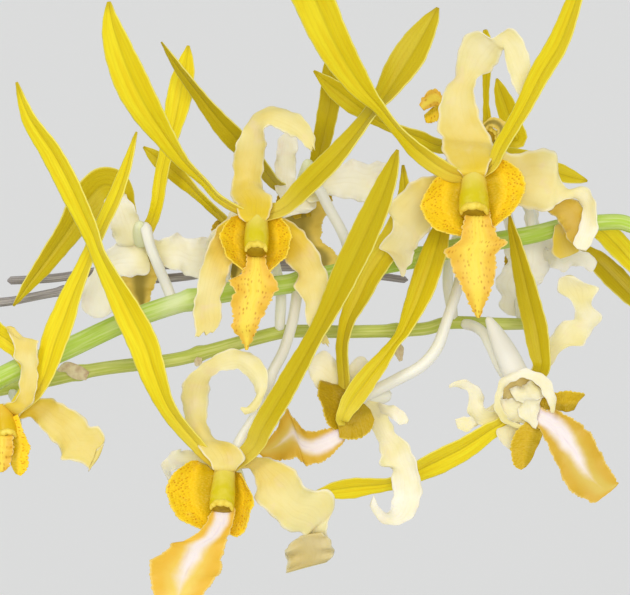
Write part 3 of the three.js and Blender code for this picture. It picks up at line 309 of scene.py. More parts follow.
@dataclass(frozen=True)
class Edges:
    """Blade given by its two edges.

    Rows are across and down of the left edge and of the right edge, in sixths of a millimetre on the
    sheet, and how far back the left and the right edge are, in millimetres, or one number for both.
    """

    rows: list[Row]

    def rooted(self, foot: Row, width: float) -> "Edges":
        """The blade, grown from a place on the sheet.

        Args:
            foot: Across, down and back, in millimetres.
            width: Width where it grows.

        Returns:
            The blade with one more row at its foot.
        """
        first = self.rows[0]
        over = np.array([first[2] - first[0], first[3] - first[1]])
        half = over / max(np.linalg.norm(over), 1) * width / 2 * SIXTHS
        x, y = foot[0] * SIXTHS, foot[1] * SIXTHS
        grown = (x - half[0], y - half[1], x + half[0], y + half[1], foot[2])
        return Edges([grown, *self.rows])

    def ribbon(self, station: float) -> Ribbon:
        """The blade's course.

        Args:
            station: Distance between stations.

        Returns:
            The course.
        """
        rows = np.array([(*row[:5], row[-1]) for row in self.rows], float)
        left = SHEET.places(np.column_stack([rows[:, :2] / SIXTHS, rows[:, 4]]))
        right = SHEET.places(np.column_stack([rows[:, 2:4] / SIXTHS, rows[:, 5]]))
        middle = smooth((left + right) / 2, 8 * len(rows))
        path = smooth(np.hstack([left, right]), max(8, round(run_length(middle)[-1] / station)))
        middle, across = (path[:, :3] + path[:, 3:]) / 2, path[:, 3:] - path[:, :3]
        face = unit(np.cross(unit(across), unit(np.gradient(middle, axis=0))))
        face *= -1 if face[0] @ SHEET.to_back > 0 else 1
        for i in range(1, len(face)):
            face[i] *= -1 if face[i] @ face[i - 1] < 0 else 1
        return Ribbon(middle, unit(across), unit(softened(face, 2)), np.linalg.norm(across, axis=1))


Blade = Union[list[Row], Edges]


@dataclass(frozen=True)
class BladeForm:
    """How a petal, sepal or lobe is shaped round its path, in millimetres."""

    cup: float
    wave: float = 0
    cycles: float = 0
    fold: float = 0
    keels: float = 0
    teeth: float = 0
    tooth: float = 1.1
    ragged: float = 0.03
    outer_only: bool = False
    thick: float = 0.6
    rim: float = 0.2
    lanes: int = 17
    station: float = 0.6
    soften: float = 0
    torn: float = 0

    def ribbon(self, blade: Blade) -> Ribbon:
        """Course of a blade.

        Args:
            blade: Its edges, or rows of across, down, back, width and turn, from the foot to the tip.

        Returns:
            The course.
        """
        if isinstance(blade, Edges):
            return blade.ribbon(self.station)
        data = np.column_stack([SHEET.places(blade), [row[3:5] for row in blade]])
        rough = smooth(data, 8 * len(blade))
        path = smooth(data, max(8, round(run_length(rough[:, :3])[-1] / self.station)))
        path[:, 3:] = softened(path[:, 3:], self.soften / self.station)
        wide, face = self.directions(path[:, :3], np.radians(path[:, 4]))
        return Ribbon(path[:, :3], wide, face, path[:, 3])

    def lay(self, skin: Skin, course: Ribbon, look: int, warm: tuple[float, float], seed: int) -> None:
        """Adds a blade to a skin.

        Args:
            skin: Where it goes.
            course: Its course.
            look: Index of its material.
            warm: Warmth of its colour at the foot and at the tip; on petals, lobes, lips and the sheets of a
                roll's inside it also sets painted shade.
            seed: Sets where its waves and teeth fall.
        """
        points, wide, face = course.middle, course.wide, course.face
        width = np.maximum(course.width, 0.3)
        run = run_length(points)
        t = run / run[-1]
        s = np.linspace(-1, 1, self.lanes)
        half = width[:, None] / 2 + self.notches(run, s, seed)
        lift = self.relief(t, s, width, seed)
        thick = (self.rim + (self.thick - self.rim) * (1 - s**2)) / 2
        thick = thick[None] * np.clip(width[:, None] / 1.5, 0.3, 1)
        middle = points[:, None] + wide[:, None] * (s * half)[..., None]
        ruffle = np.sin(4.4 * s + seed) + np.sin(9 * s)
        tear = self.torn * np.outer(ease((run - run[-1] + 2.5) / 2.5), ruffle)
        middle = middle + unit(np.gradient(points, axis=0))[:, None] * tear[..., None]
        front = middle + face[:, None] * (lift + thick)[..., None]
        back = middle + face[:, None] * (lift - thick)[..., None]
        rings = np.concatenate([front, back[:, ::-1]], axis=1)
        lanes = np.concatenate([s, s[::-1], s[:1]])
        share = pairs((lanes + 1)[None] / 2, t[:, None])
        size = pairs(lanes[None] * width[:, None] / 20, run[:, None] / 10)
        skin.add_rings(rings, share, size, look, warm[0] + (warm[1] - warm[0]) * ease(t * 1.3))

    @staticmethod
    def directions(points: Grid, turn: Grid) -> tuple[Grid, Grid]:
        """Directions across a blade and out of its face along its path.

        Args:
            points: The path.
            turn: How far the blade is turned about its path, in radians.

        Returns:
            The two directions at each point.
        """
        along = unit(np.gradient(points, axis=0))
        side = np.cross(SHEET.to_back, along)
        for i in range(1, len(side)):
            if np.linalg.norm(side[i]) < 0.12 or side[i] @ side[i - 1] < 0:
                side[i] = side[i - 1] - along[i] * (side[i - 1] @ along[i])
        side = unit(side)
        front = np.cross(side, along)
        front *= np.where(front @ SHEET.to_back > 0, -1, 1)[:, None]
        wide = side * np.cos(turn)[:, None] + front * np.sin(turn)[:, None]
        face = np.cross(wide, along)
        face *= np.where(np.einsum("ij,ij->i", face, front) < 0, -1, 1)[:, None]
        return unit(wide), unit(face)

    def relief(self, t: Grid, s: Grid, width: Grid, seed: int) -> Grid:
        """How far the blade stands forward of its path at each station and lane.

        Args:
            t: Share of the way from foot to tip.
            s: Lane, from -1 to 1.
            width: Width at each station.
            seed: Shifts the waves.

        Returns:
            Lift by station and lane.
        """
        t, s, w = t[:, None], s[None], width[:, None]
        lift = self.cup * w * (np.abs(s) ** 1.5 - 0.4)
        swell = np.minimum(1, w / 4) * np.sin(np.pi * t)
        lift = lift + self.wave * swell * s * np.abs(s) * np.sin(2 * np.pi * self.cycles * t + np.sign(s))
        ripple = np.sin(2 * np.pi * self.cycles * 2.4 * t + seed + 2 * s)
        lift = lift + 0.45 * self.wave * swell * s**4 * ripple
        lift = lift - self.fold * np.exp(-((s / 0.14) ** 2)) * np.minimum(1, w / 3)
        fade = ease(t * 8) * (1 - ease((t - 0.45) * 2.4))
        for keel in (-0.26, 0, 0.26):
            lift = lift + self.keels * fade * np.exp(-(((s - keel) / 0.08) ** 2))
        return lift

    def notches(self, run: Grid, s: Grid, seed: int) -> Grid:
        """How far the edges stand out or in, for an outline that is toothed or uneven.

        Args:
            run: Distance along the blade.
            s: Lane, from -1 to 1.
            seed: Shifts the teeth.

        Returns:
            Extra half width by station and lane.
        """
        draw = np.random.default_rng(seed)
        total = np.zeros((len(run), len(s)))
        fade = ease(run / 1.5) * ease((run[-1] - run) / 1.2)
        for side in (-1, 1):
            near_edge = np.clip(s * side, 0, 1) ** 4
            uneven = sum(
                self.ragged * np.sin(run * rate + phase)
                for rate, phase in zip((0.9, 1.7, 2.9), draw.uniform(0, 2 * np.pi, 3))
            )
            if self.teeth and (side > 0 or not self.outer_only):
                place = run / self.tooth + 0.35 * np.sin(run * 1.3 + draw.uniform(0, 6))
                depth = 0.55 + 0.45 * np.sin(np.floor(place) * 2.4 + draw.uniform(0, 6))
                uneven = uneven + self.teeth * depth * (np.abs(np.sin(np.pi * place)) - 0.5)
            total += (uneven * fade)[:, None] * near_edge[None]
        return total


def add_tube(
    skin: Skin, points: Grid, radii: Grid, look: int, warm: float, sides: int, ribs: float = 0
) -> None:
    """Adds a round stem with closed ends to a skin.

    Args:
        skin: Where it goes.
        points: The path.
        radii: Radius at each point.
        look: Index of its material.
        warm: Warmth of its colour.
        sides: Corners round it.
        ribs: Height of the ribs along it.
    """
    along = unit(np.gradient(points, axis=0))
    across = np.zeros_like(points)
    across[0] = unit(np.cross(along[0], [0.3, 0.86, 0.4]))
    for i in range(1, len(points)):
        across[i] = unit(across[i - 1] - along[i] * (across[i - 1] @ along[i]))
    up = np.cross(along, across)
    angle = 2 * np.pi * np.arange(sides) / sides
    reach = radii[:, None] + ribs * np.cos(STEM_RIBS * angle)[None]
    rings = points[:, None] + reach[..., None] * (
        across[:, None] * np.cos(angle)[None, :, None] + up[:, None] * np.sin(angle)[None, :, None]
    )
    run = run_length(points)
    turn = np.arange(sides + 1) / sides
    share = pairs(turn[None], (run / run[-1])[:, None])
    size = pairs((turn * 2 * np.pi)[None] * radii[:, None] / 10, run[:, None] / 10)
    skin.add_rings(rings, share, size, look, np.full(len(points), warm))


def add_stem(skin: Skin, rows: Sequence[Row], look: int, warm: float, sides: int, ribs: float = 0) -> None:
    """Adds a stem along rows of across, down, back and radius, its ends rounded.

    Args:
        skin: Where it goes.
        rows: The rows.
        look: Index of its material.
        warm: Warmth of its colour.
        sides: Corners round it.
        ribs: Height of the ribs along it.
    """
    data = np.column_stack([SHEET.places(rows), [row[3] for row in rows]])
    path = smooth(data, 8 * (len(rows) - 1))
    points, radii = path[:, :3], path[:, 3]
    run = run_length(points)
    near_end = np.minimum(run, run[-1] - run) / radii
    rounded = radii * np.sqrt(np.clip(1 - (1 - np.clip(near_end, 0, 1)) ** 2, 0.04, 1))
    add_tube(skin, points, rounded, look, warm, sides, ribs)


class Tree:
    """Tree of nodes, built up node by node."""

    def __init__(self, tree: bpy.types.NodeTree) -> None:
        """Starts on a tree."""
        self.tree = tree

    def feed(self, socket: Socket, value: object) -> None:
        """Links a socket, or sets it to a number or colour.

        Args:
            socket: The input.
            value: Another socket, a number or a colour.
        """
        if isinstance(value, Socket):
            self.tree.links.new(value, socket)
        elif isinstance(value, tuple) and socket.type == "RGBA":
            socket.default_value = (*value, 1)
        else:
            socket.default_value = value

    def node(self, kind: str, feeds: Optional[Feeds] = None, **settings: object) -> bpy.types.Node:
        """Adds a node.

        Args:
            kind: Its type.
            feeds: What feeds its inputs.
            **settings: Its settings.

        Returns:
            The node.
        """
        made = self.tree.nodes.new(kind)
        for key, value in settings.items():
            setattr(made, key, value)
        for key, value in (feeds or {}).items():
            self.feed(made.inputs[key], value)
        return made


class Paint(Tree):
    """One material, built up in layers of colour."""

    def __init__(self, name: str, roughness: float) -> None:
        """Starts a material.

        Args:
            name: Its name.
            roughness: Roughness of the whole surface.
        """
        self.material = bpy.data.materials.new(name)
        self.material.use_nodes = True
        super().__init__(self.material.node_tree)
        self.tone: Union[Socket, Colour] = (0, 0, 0)
        self.set({"Roughness": roughness, "Specular IOR Level": 0.22})

    def set(self, values: Feeds) -> None:
        """Sets or links inputs of the shader."""
        for key, value in values.items():
            self.feed(self.tree.nodes["Principled BSDF"].inputs[key], value)

    def share(self) -> tuple[Socket, Socket]:
        """Across and along, each from 0 to 1."""
        return self.uv(UvLayer.SHARE)

    def size(self) -> tuple[Socket, Socket]:
        """Across and along, in tens of millimetres."""
        return self.uv(UvLayer.SIZE)

    def uv(self, layer: UvLayer) -> tuple[Socket, Socket]:
        """Across and along from one of a skin's UV maps."""
        split = self.node("ShaderNodeSeparateXYZ")
        self.feed(split.inputs[0], self.node("ShaderNodeUVMap", uv_map=layer.value).outputs[0])
        return split.outputs[0], split.outputs[1]

    def warm(self) -> Socket:
        """Warmth that the skin carries, which on petals, lobes, lips and the sheets of a roll's inside also
        sets painted shade.
        """
        return self.node("ShaderNodeAttribute", attribute_name="warm").outputs["Fac"]

    def join(self, x: object, y: object, z: object = 0.0) -> Socket:
        """A vector of three numbers."""
        return self.node("ShaderNodeCombineXYZ", {0: x, 1: y, 2: z}).outputs[0]

    def math(self, operation: str, first: object, second: object = 0.0) -> Socket:
        """One sum on two numbers."""
        return self.node("ShaderNodeMath", {0: first, 1: second}, operation=operation).outputs[0]

    def less(self, value: object) -> Socket:
        """What a number lacks to one."""
        return self.math("SUBTRACT", 1.0, value)

    def times(self, *values: object) -> Socket:
        """Numbers multiplied together."""
        total = values[0]
        for value in values[1:]:
            total = self.math("MULTIPLY", total, value)
        return total

    def scaled(self, x: Socket, x_scale: float, y: Socket, y_scale: float) -> Socket:
        """A vector of two numbers, each at a scale of its own."""
        return self.join(self.times(x, x_scale), self.times(y, y_scale))

    def spread(self, value: object, low: float, high: float, top: float = 1.0) -> Socket:
        """A soft step from 0 at low to top at high."""
        feeds = {"Value": value, "From Min": low, "From Max": high, "To Max": top}
        return self.node("ShaderNodeMapRange", feeds, interpolation_type="SMOOTHSTEP").outputs["Result"]

    def mix(self, share: object, first: object, second: object) -> Socket:
        """A colour between two."""
        return self.node("ShaderNodeMix", {0: share, 6: first, 7: second}, data_type="RGBA").outputs[2]

    def coat(self, share: object, over: object) -> None:
        """Lays a colour over what is there, by a share."""
        self.tone = self.mix(share, self.tone, over)

    def noise(self, place: Socket, scale: float, detail: float = 3.0, blur: float = 0.0) -> Socket:
        """Noise around one half."""
        feeds = {"Vector": place, "Scale": scale, "Detail": detail, "Distortion": blur}
        return self.node("ShaderNodeTexNoise", feeds).outputs[0]

    def cloud(self, scale: float, detail: float = 3.0, blur: float = 0.0) -> Socket:
        """Noise on the object's own coordinates."""
        return self.noise(self.node("ShaderNodeTexCoord").outputs["Object"], scale, detail, blur)

    def dots(self, place: Socket, strictness: float) -> Socket:
        """Distance to the nearest of scattered points, one for each unit."""
        feeds = {"Vector": place, "Scale": 1, "Randomness": strictness}
        return self.node("ShaderNodeTexVoronoi", feeds).outputs["Distance"]

    def edge(self, across: Socket) -> Socket:
        """0 at the middle of a blade and 1 at its edges."""
        return self.times(self.math("ABSOLUTE", self.math("SUBTRACT", across, 0.5)), 2.0)

    def veins(self, across: Socket, along: Socket, count: float) -> Socket:
        """Fine lines along a blade, 1 on a line and 0 between."""
        waver = self.noise(self.scaled(across, 3.0, along, 2.0), 1.0, 2.0)
        phase = self.math("ADD", self.times(across, count), self.times(waver, 0.9))
        return self.spread(self.math("SINE", self.times(phase, 2 * math.pi)), 0.1, 1.0)

    def bump(self, height: object, distance: float, strength: float) -> None:
        """Relief from a height, in metres of depth."""
        feeds = {"Height": height, "Distance": distance, "Strength": strength}
        self.set({"Normal": self.node("ShaderNodeBump", feeds).outputs[0]})

    def flesh(self, weight: float, radius: Colour, scale: float = 0.001) -> None:
        """Lets light into the surface, as a petal does."""
        self.set({"Subsurface Weight": weight, "Subsurface Radius": radius, "Subsurface Scale": scale})

    def done(self) -> Material:
        """Sets the colour and hands over the material."""
        self.set({"Base Color": self.tone})
        return self.material


@dataclass(frozen=True)
class PetalFinish:
    """Golden petal with fine veins, painted olive shade where its warmth carries shade, and painted shade
    over one half.
    """

    name: str = "petal_gold"
    bright: Colour = colour("f8e724")
    deep: Colour = colour("eed110")
    olive: Colour = colour("b09a02")
    shade: Colour = colour("a58c08")
    foot: Colour = colour("e8d25a")
    rim: Colour = colour("f8ee82")

    def material(self) -> Material:
        """Makes the petal's material.

        Returns:
            The material.
        """
        paint = Paint(self.name, 0.42)
        across, along = paint.share()
        _, run = paint.size()
        streaks = paint.noise(paint.scaled(across, 7.0, run, 1.1), 1.0, 4.0)
        paint.tone = paint.mix(paint.spread(streaks, 0.25, 0.7), self.deep, self.bright)
        # Painted shade: the deeper gold over one half of the petal, past its midrib.
        paint.coat(paint.spread(across, 0.42, 0.6, 0.35), self.deep)
        # Painted shade: olive laid over petals turned from the light, as deep as the shade their skin
        # carries.
        paint.coat(paint.times(paint.warm(), 0.85), self.olive)
        veins = paint.veins(across, run, 9.0)
        paint.coat(paint.times(veins, 0.08), self.shade)
        edge = paint.edge(across)
        rib = paint.less(paint.spread(edge, 0.02, 0.11))
        paint.coat(paint.times(rib, 0.3), self.shade)
        paint.coat(paint.times(paint.spread(edge, 0.9, 1.0), 0.7), self.rim)
        foot = paint.less(paint.spread(along, 0.02, 0.24))
        paint.coat(paint.times(foot, 0.65), self.foot)
        paint.coat(paint.spread(along, 0.95, 1.0, 0.5), self.shade)
        paint.bump(paint.less(paint.math("ADD", paint.times(veins, 0.4), rib)), 0.0002, 0.25)
        paint.flesh(0.12, (1.0, 0.85, 0.3))
        return paint.done()


@dataclass(frozen=True)
class SepalFinish:
    """Cream sepal, golden where it is warm, with faint veins and whiter edges."""

    name: str = "sepal_cream"
    pale: Colour = colour("e9dc9c")
    white: Colour = colour("f8f2e2")
    warm: Colour = colour("e2c122")
    vein: Colour = colour("cfb55c")
    blush: Colour = colour("e8cbb8")

    def material(self) -> Material:
        """Makes the sepal's material.

        Returns:
            The material.
        """
        paint = Paint(self.name, 0.45)
        across, _ = paint.share()
        _, run = paint.size()
        cloud = paint.cloud(170.0, 4.0)
        warm = paint.math("ADD", paint.warm(), paint.times(paint.math("SUBTRACT", cloud, 0.5), 0.7))
        paint.tone = paint.mix(paint.spread(warm, -0.1, 0.45), self.white, self.pale)
        paint.coat(paint.spread(warm, 0.3, 1.15), self.warm)
        patch = paint.cloud(260.0, 3.0, 0.4)
        paint.coat(paint.spread(patch, 0.56, 0.78, 0.3), self.blush)
        veins = paint.veins(across, run, 6.5)
        soft = paint.spread(paint.noise(paint.join(paint.times(across, 2.0), run), 1.0), 0.4, 0.7, 0.1)
        paint.coat(paint.times(veins, soft), self.vein)
        edge = paint.edge(across)
        paint.coat(paint.spread(edge, 0.84, 1.0, 0.5), self.white)
        paint.bump(paint.less(veins), 0.0001, 0.16)
        paint.flesh(0.22, (1.0, 0.85, 0.45), 0.0014)
        return paint.done()


@dataclass(frozen=True)
class StemFinish:
    """White flower stem, greenish where it is warm."""

    name: str = "stem_white"
    white: Colour = colour("f3f0e4")
    green: Colour = colour("d5da96")

    def material(self) -> Material:
        """Makes the stem's material.

        Returns:
            The material.
        """
        paint = Paint(self.name, 0.4)
        around, along = paint.share()
        streak = paint.noise(paint.scaled(around, 6.0, along, 1.5), 1.0, 3.0)
        warm = paint.math("ADD", paint.warm(), paint.times(paint.math("SUBTRACT", streak, 0.5), 0.5))
        paint.tone = paint.mix(paint.spread(warm, 0.0, 1.0), self.white, self.green)
        paint.bump(streak, 0.0002, 0.3)
        paint.flesh(0.2, (1.0, 0.9, 0.6))
        return paint.done()


@dataclass(frozen=True)
class SideLobeFinish:
    """Side lobe of a lip: olive gold inside, painted shade where it folds in beside the column, orange
    yellow with brown dots towards its toothed edge, and olive over its plain outer side, partly its own
    colour and partly painted shade.
    """

    name: str = "side_lobe"
    inner_shade: Colour = colour("cfae0c")
    olive: Colour = colour("9c8008")
    outer: Colour = colour("ffd422")
    rim: Colour = colour("fbde62")
    dot: Colour = colour("cc6f0a")

    def material(self) -> Material:
        """Makes the lobe's material.

        Returns:
            The material.
        """
        paint = Paint(self.name, 0.42)
        across, _ = paint.share()
        x, y = paint.size()
        # Painted shade: darker olive gold on the wall beside the column, orange yellow towards the edge.
        paint.tone = paint.mix(paint.spread(across, 0.22, 0.52), self.inner_shade, self.outer)
        cloud = paint.cloud(500.0, 3.0)
        paint.coat(paint.spread(cloud, 0.5, 0.8, 0.3), self.rim)
        spots = paint.dots(paint.scaled(x, 15.0, y, 30.0), 0.75)
        spot = paint.less(paint.spread(spots, 0.14, 0.46))
        plain = paint.less(paint.warm())
        where = paint.times(paint.spread(across, 0.42, 0.62), paint.spread(cloud, 0.25, 0.4), plain)
        paint.coat(paint.times(spot, where, 0.66), self.dot)
        # Olive over the plain outer side, partly the lobe's own colour and partly painted shade.
        paint.coat(paint.times(paint.warm(), 0.8), self.olive)
        paint.coat(paint.spread(across, 0.94, 1.0, 0.6), self.rim)
        paint.bump(paint.math("ADD", spots, cloud), 0.0003, 0.4)
        paint.flesh(0.1, (1.0, 0.8, 0.3))
        return paint.done()


@dataclass(frozen=True)
class MidLobeFinish:
    """Middle lobe of a lip: spotted with brown dashes, banded with white over gold that carries a painted
    shadow as deep as its shade, or plain gold as seen from behind, with painted shade in its middle.
    """

    look: LipLook
    middle: Colour = colour("f5d84e")
    side: Colour = colour("e8b83c")
    rim: Colour = colour("f7df92")
    dash: Colour = colour("bd7412")
    gold: Colour = colour("ebcd60")
    white: Colour = colour("efe4e2")
    blush: Colour = colour("cdb0c4")
    behind: Colour = colour("a08c38")
    shadow: Colour = colour("9c861a")

    def material(self) -> Material:
        """Makes the lobe's material.

        Returns:
            The material.
        """
        paint = Paint(f"lip_{self.look.value}", 0.42)
        across, along = paint.share()
        x, y = paint.size()
        edge = paint.edge(across)
        cloud = paint.cloud(420.0, 3.0)
        inward = paint.spread(paint.math("ADD", edge, paint.times(cloud, 0.4)), 0.35, 0.95)
        if self.look is LipLook.SPOTTED:
            paint.tone = paint.mix(inward, self.middle, self.side)
            paint.coat(self.dashes(paint, x, y, edge, along), self.dash)
        elif self.look is LipLook.BANDED:
            # Painted shadow: the shadow colour laid over the gold as deep as the shade the skin carries.
            paint.tone = paint.mix(paint.warm(), paint.mix(inward, self.gold, self.side), self.shadow)
            self.band(paint, edge, along, x, y)
        else:
            # Painted shade: darker olive in the middle of the underside, gold towards its edges.
            paint.tone = paint.mix(inward, self.behind, self.gold)
        paint.coat(paint.spread(edge, 0.9, 1.0, 0.6), self.rim)
        paint.bump(cloud, 0.0002, 0.3)
        paint.flesh(0.1, (1.0, 0.8, 0.35))
        return paint.done()

    @staticmethod
    def dashes(paint: Paint, x: Socket, y: Socket, edge: Socket, along: Socket) -> Socket:
        """Lengthwise rows of dashes, strongest towards the edges.

        Args:
            paint: The lobe's paint.
            x: Across, in tens of millimetres.
            y: Along, in tens of millimetres.
            edge: 0 at the middle and 1 at the edges.
            along: Along, from 0 to 1.

        Returns:
            Share of the dashes' colour.
        """
        rows = paint.dots(paint.scaled(x, 18.0, y, 10.5), 0.45)
        dash = paint.less(paint.spread(rows, 0.12, 0.4))
        clear = paint.times(paint.spread(edge, 0.02, 0.14), paint.spread(along, 0.22, 0.34))
        return paint.times(dash, clear, paint.spread(paint.cloud(380.0), 0.3, 0.52, 0.7))

    def band(self, paint: Paint, edge: Socket, along: Socket, x: Socket, y: Socket) -> None:
        """Adds a white band down the middle, which narrows and fades towards the tip.

        Args:
            paint: The lobe's paint.
            edge: 0 at the middle and 1 at the edges.
            along: Along, from 0 to 1.
            x: Across, in tens of millimetres.
            y: Along, in tens of millimetres.
        """
        soft = paint.times(paint.math("SUBTRACT", paint.cloud(260.0), 0.5), 0.5)
        narrow = paint.math("ADD", paint.math("ADD", edge, paint.times(along, 1.15)), soft)
        inside = paint.less(paint.spread(narrow, 0.62, 1.1))
        streaks = paint.noise(paint.scaled(x, 9.0, y, 1.6), 1.0, 3.0)
        milk = paint.mix(paint.spread(streaks, 0.45, 0.8, 0.55), self.white, self.blush)
        paint.coat(paint.times(inside, 0.95), milk)


@dataclass(frozen=True)
class ColumnFinish:
    """Column between the petals: pale gold at its top and yellow green lower down."""

    name: str = "column_green"
    top: Colour = colour("ecd96c")
    low: Colour = colour("d6c414")
    gold: Colour = colour("dfb310")

    def material(self) -> Material:
        """Makes the column's material.

        Returns:
            The material.
        """
        paint = Paint(self.name, 0.35)
        _, along = paint.share()
        paint.tone = paint.mix(paint.spread(along, 0.15, 0.75), self.top, self.low)
        cloud = paint.cloud(600.0, 2.0)
        paint.coat(paint.spread(cloud, 0.4, 0.7, 0.3), self.top)
        paint.coat(paint.warm(), self.gold)
        paint.bump(cloud, 0.0002, 0.25)
        paint.flesh(0.2, (0.9, 0.9, 0.3))
        return paint.done()


@dataclass(frozen=True)
class PlainFinish:
    """Small soft surface of one colour, clouded by a second."""

    name: str
    main: Colour
    cloud: Colour
    roughness: float = 0.5
    grain: float = 500.0
    flesh: float = 0.1
    relief: float = 0.0002

    def material(self) -> Material:
        """Makes the surface's material.

        Returns:
            The material.
        """
        paint = Paint(self.name, self.roughness)
        cloud = paint.cloud(self.grain, 4.0)
        paint.tone = paint.mix(paint.spread(cloud, 0.35, 0.68), self.main, self.cloud)
        paint.bump(cloud, self.relief, 0.4)
        paint.flesh(self.flesh, (1.0, 0.8, 0.4))
        return paint.done()


@dataclass(frozen=True)
class StalkFinish:
    """Long stalk or cane: lengthwise streaks of two colours, with a third in scattered patches."""

    name: str
    main: Colour
    streak: Colour
    patch: Colour
    roughness: float = 0.42
    fineness: float = 10.0
    patches: float = 90.0
    patch_share: float = 0.5

    def material(self) -> Material:
        """Makes the stalk's material.

        Returns:
            The material.
        """
        paint = Paint(self.name, self.roughness)
        ring = paint.node("ShaderNodeAttribute", attribute_name="round").outputs["Vector"]
        split = paint.node("ShaderNodeSeparateXYZ", {0: ring})
        far = paint.node("ShaderNodeAttribute", attribute_name="far").outputs["Fac"]
        lengthwise = paint.join(split.outputs[0], split.outputs[1], paint.times(far, 35.0))
        streaks = paint.noise(lengthwise, self.fineness * 0.35, 4.0)
        paint.tone = paint.mix(paint.spread(streaks, 0.38, 0.66), self.main, self.streak)
        cloud = paint.cloud(self.patches, 4.0)
        paint.coat(paint.spread(cloud, 0.55, 0.78, self.patch_share), self.patch)
        paint.bump(streaks, 0.0003, 0.35)
        paint.flesh(0.08, (0.7, 0.9, 0.3))
        return paint.done()


@dataclass(frozen=True)
class LeafFinish:
    """Leathery leaf: parallel veins, a pale midrib and a slightly lighter margin."""

    name: str = "leaf_green"
    main: Colour = colour("4d7a2a")
    deep: Colour = colour("35601f")
    rib: Colour = colour("8fae55")

    def material(self) -> Material:
        """Makes the leaf's material.

        Returns:
            The material.
        """
        paint = Paint(self.name, 0.38)
        across, _ = paint.share()
        _, run = paint.size()
        cloud = paint.cloud(60.0, 4.0)
        paint.tone = paint.mix(paint.spread(cloud, 0.35, 0.7), self.main, self.deep)
        veins = paint.veins(across, run, 14.0)
        paint.coat(paint.times(veins, 0.22), self.rib)
        edge = paint.edge(across)
        rib = paint.less(paint.spread(edge, 0.01, 0.06))
        paint.coat(paint.times(rib, 0.7), self.rib)
        paint.coat(paint.spread(edge, 0.95, 1.0, 0.5), self.rib)
        paint.bump(paint.math("ADD", paint.times(veins, 0.4), rib), 0.0005, 0.35)
        paint.set({"Coat Weight": 0.15})
        return paint.done()


@dataclass(frozen=True)
class ClayFinish:
    """Unglazed clay: fine grain, darker damp patches and pale lime bloom."""

    name: str = "clay"
    main: Colour = colour("b9693f")
    dark: Colour = colour("8f4c2c")
    lime: Colour = colour("dccab6")

    def material(self) -> Material:
        """Makes the pot's material.

        Returns:
            The material.
        """
        paint = Paint(self.name, 0.82)
        place = paint.node("ShaderNodeTexCoord").outputs["Object"]
        grain = paint.noise(place, 900.0, 4.0)
        cloud = paint.noise(place, 22.0, 5.0, 0.6)
        paint.tone = paint.mix(paint.spread(cloud, 0.35, 0.7), self.main, self.dark)
        paint.coat(paint.spread(grain, 0.45, 0.75, 0.25), self.lime)
        bloom = paint.noise(place, 35.0, 6.0, 1.2)
        paint.coat(paint.spread(bloom, 0.58, 0.8, 0.55), self.lime)
        paint.bump(paint.math("ADD", grain, paint.times(cloud, 0.4)), 0.0004, 0.5)
        return paint.done()


@dataclass(frozen=True)
class FloorFinish:
    """Plain pale studio floor."""

    name: str = "floor"
    pale: Colour = colour("f6f5f2")

    def material(self) -> Material:
        """Makes the floor's material.

        Returns:
            The material.
        """
        paint = Paint(self.name, 0.9)
        paint.set({"Specular IOR Level": 0.1})
        paint.tone = self.pale
        return paint.done()


@dataclass(frozen=True)
class BloomPlan:
    """Places of one bloom's parts on the sheet.

    Petals, sepals, lip and lobes are edges, or rows of across, down, back, width and turn. The column and
    the stems, which are the spur and the flower's own stem, are rows of across, down, back and radius.
    Insides are sheets in a darker copy of the sepal's colours, laid on a rolled sepal as painted shade of
    its inside. The painted petal shade values say how much painted olive shade lies on each petal, and
    lobe_shade how much of the lobes' plain outer side is seen, in olive that is partly its own colour and
    partly painted shade; lip_shade is a painted shadow over a banded lip. Tints are added to the warmth of
    each sepal in turn.
    """

    petals: list[Blade]
    column: list[Row]
    sepals: list[Blade]
    lip: Blade
    lobes: list[Blade]
    stems: list[list[Row]]
    warmth: tuple[float, float] = (0.25, 0)
    look: LipLook = LipLook.SPOTTED
    painted_petal_shades: tuple[float, float] = (0.1, 0.6)
    lobe_shade: float = 0
    spur_green: float = 0.6
    root_width: float = 2.2
    painted_shade_insides: list[Edges] = field(default_factory=list)
    inside_shade_warmth: float = 0.9
    tints: tuple[float, ...] = ()
    column_gold: float = 0
    lip_shade: float = 0
    torn: float = 0


class Wardrobe:
    """Every material of the blooms, made once."""

    def __init__(self) -> None:
        """Makes the materials."""
        self.petal = PetalFinish().material()
        self.sepal = SepalFinish().material()
        # Painted shade: a darker copy of the sepal's colours, for sheets that stand for the shaded inside of
        # a roll.
        inside = [colour(code) for code in ("cdb772", "ded2ac", "d0aa18", "b79a48", "c9b088")]
        self.inside = SepalFinish("sepal_inside_painted_shade", *inside).material()
        self.stem = StemFinish().material()
        self.side_lobe = SideLobeFinish().material()
        self.middles = {look: MidLobeFinish(look).material() for look in LipLook}
        self.column = ColumnFinish().material()
        self.cap = PlainFinish("anther_cap", colour("f6dc5c"), colour("e3c43a"), 0.4, 800.0).material()
        # Painted shade: dark olive for the plug that stands for the hollow under the column's end.
        self.hollow = PlainFinish("column_hollow_painted_shade", colour("ab8a0c"), colour("957608"), 0.5, 800.0).material()


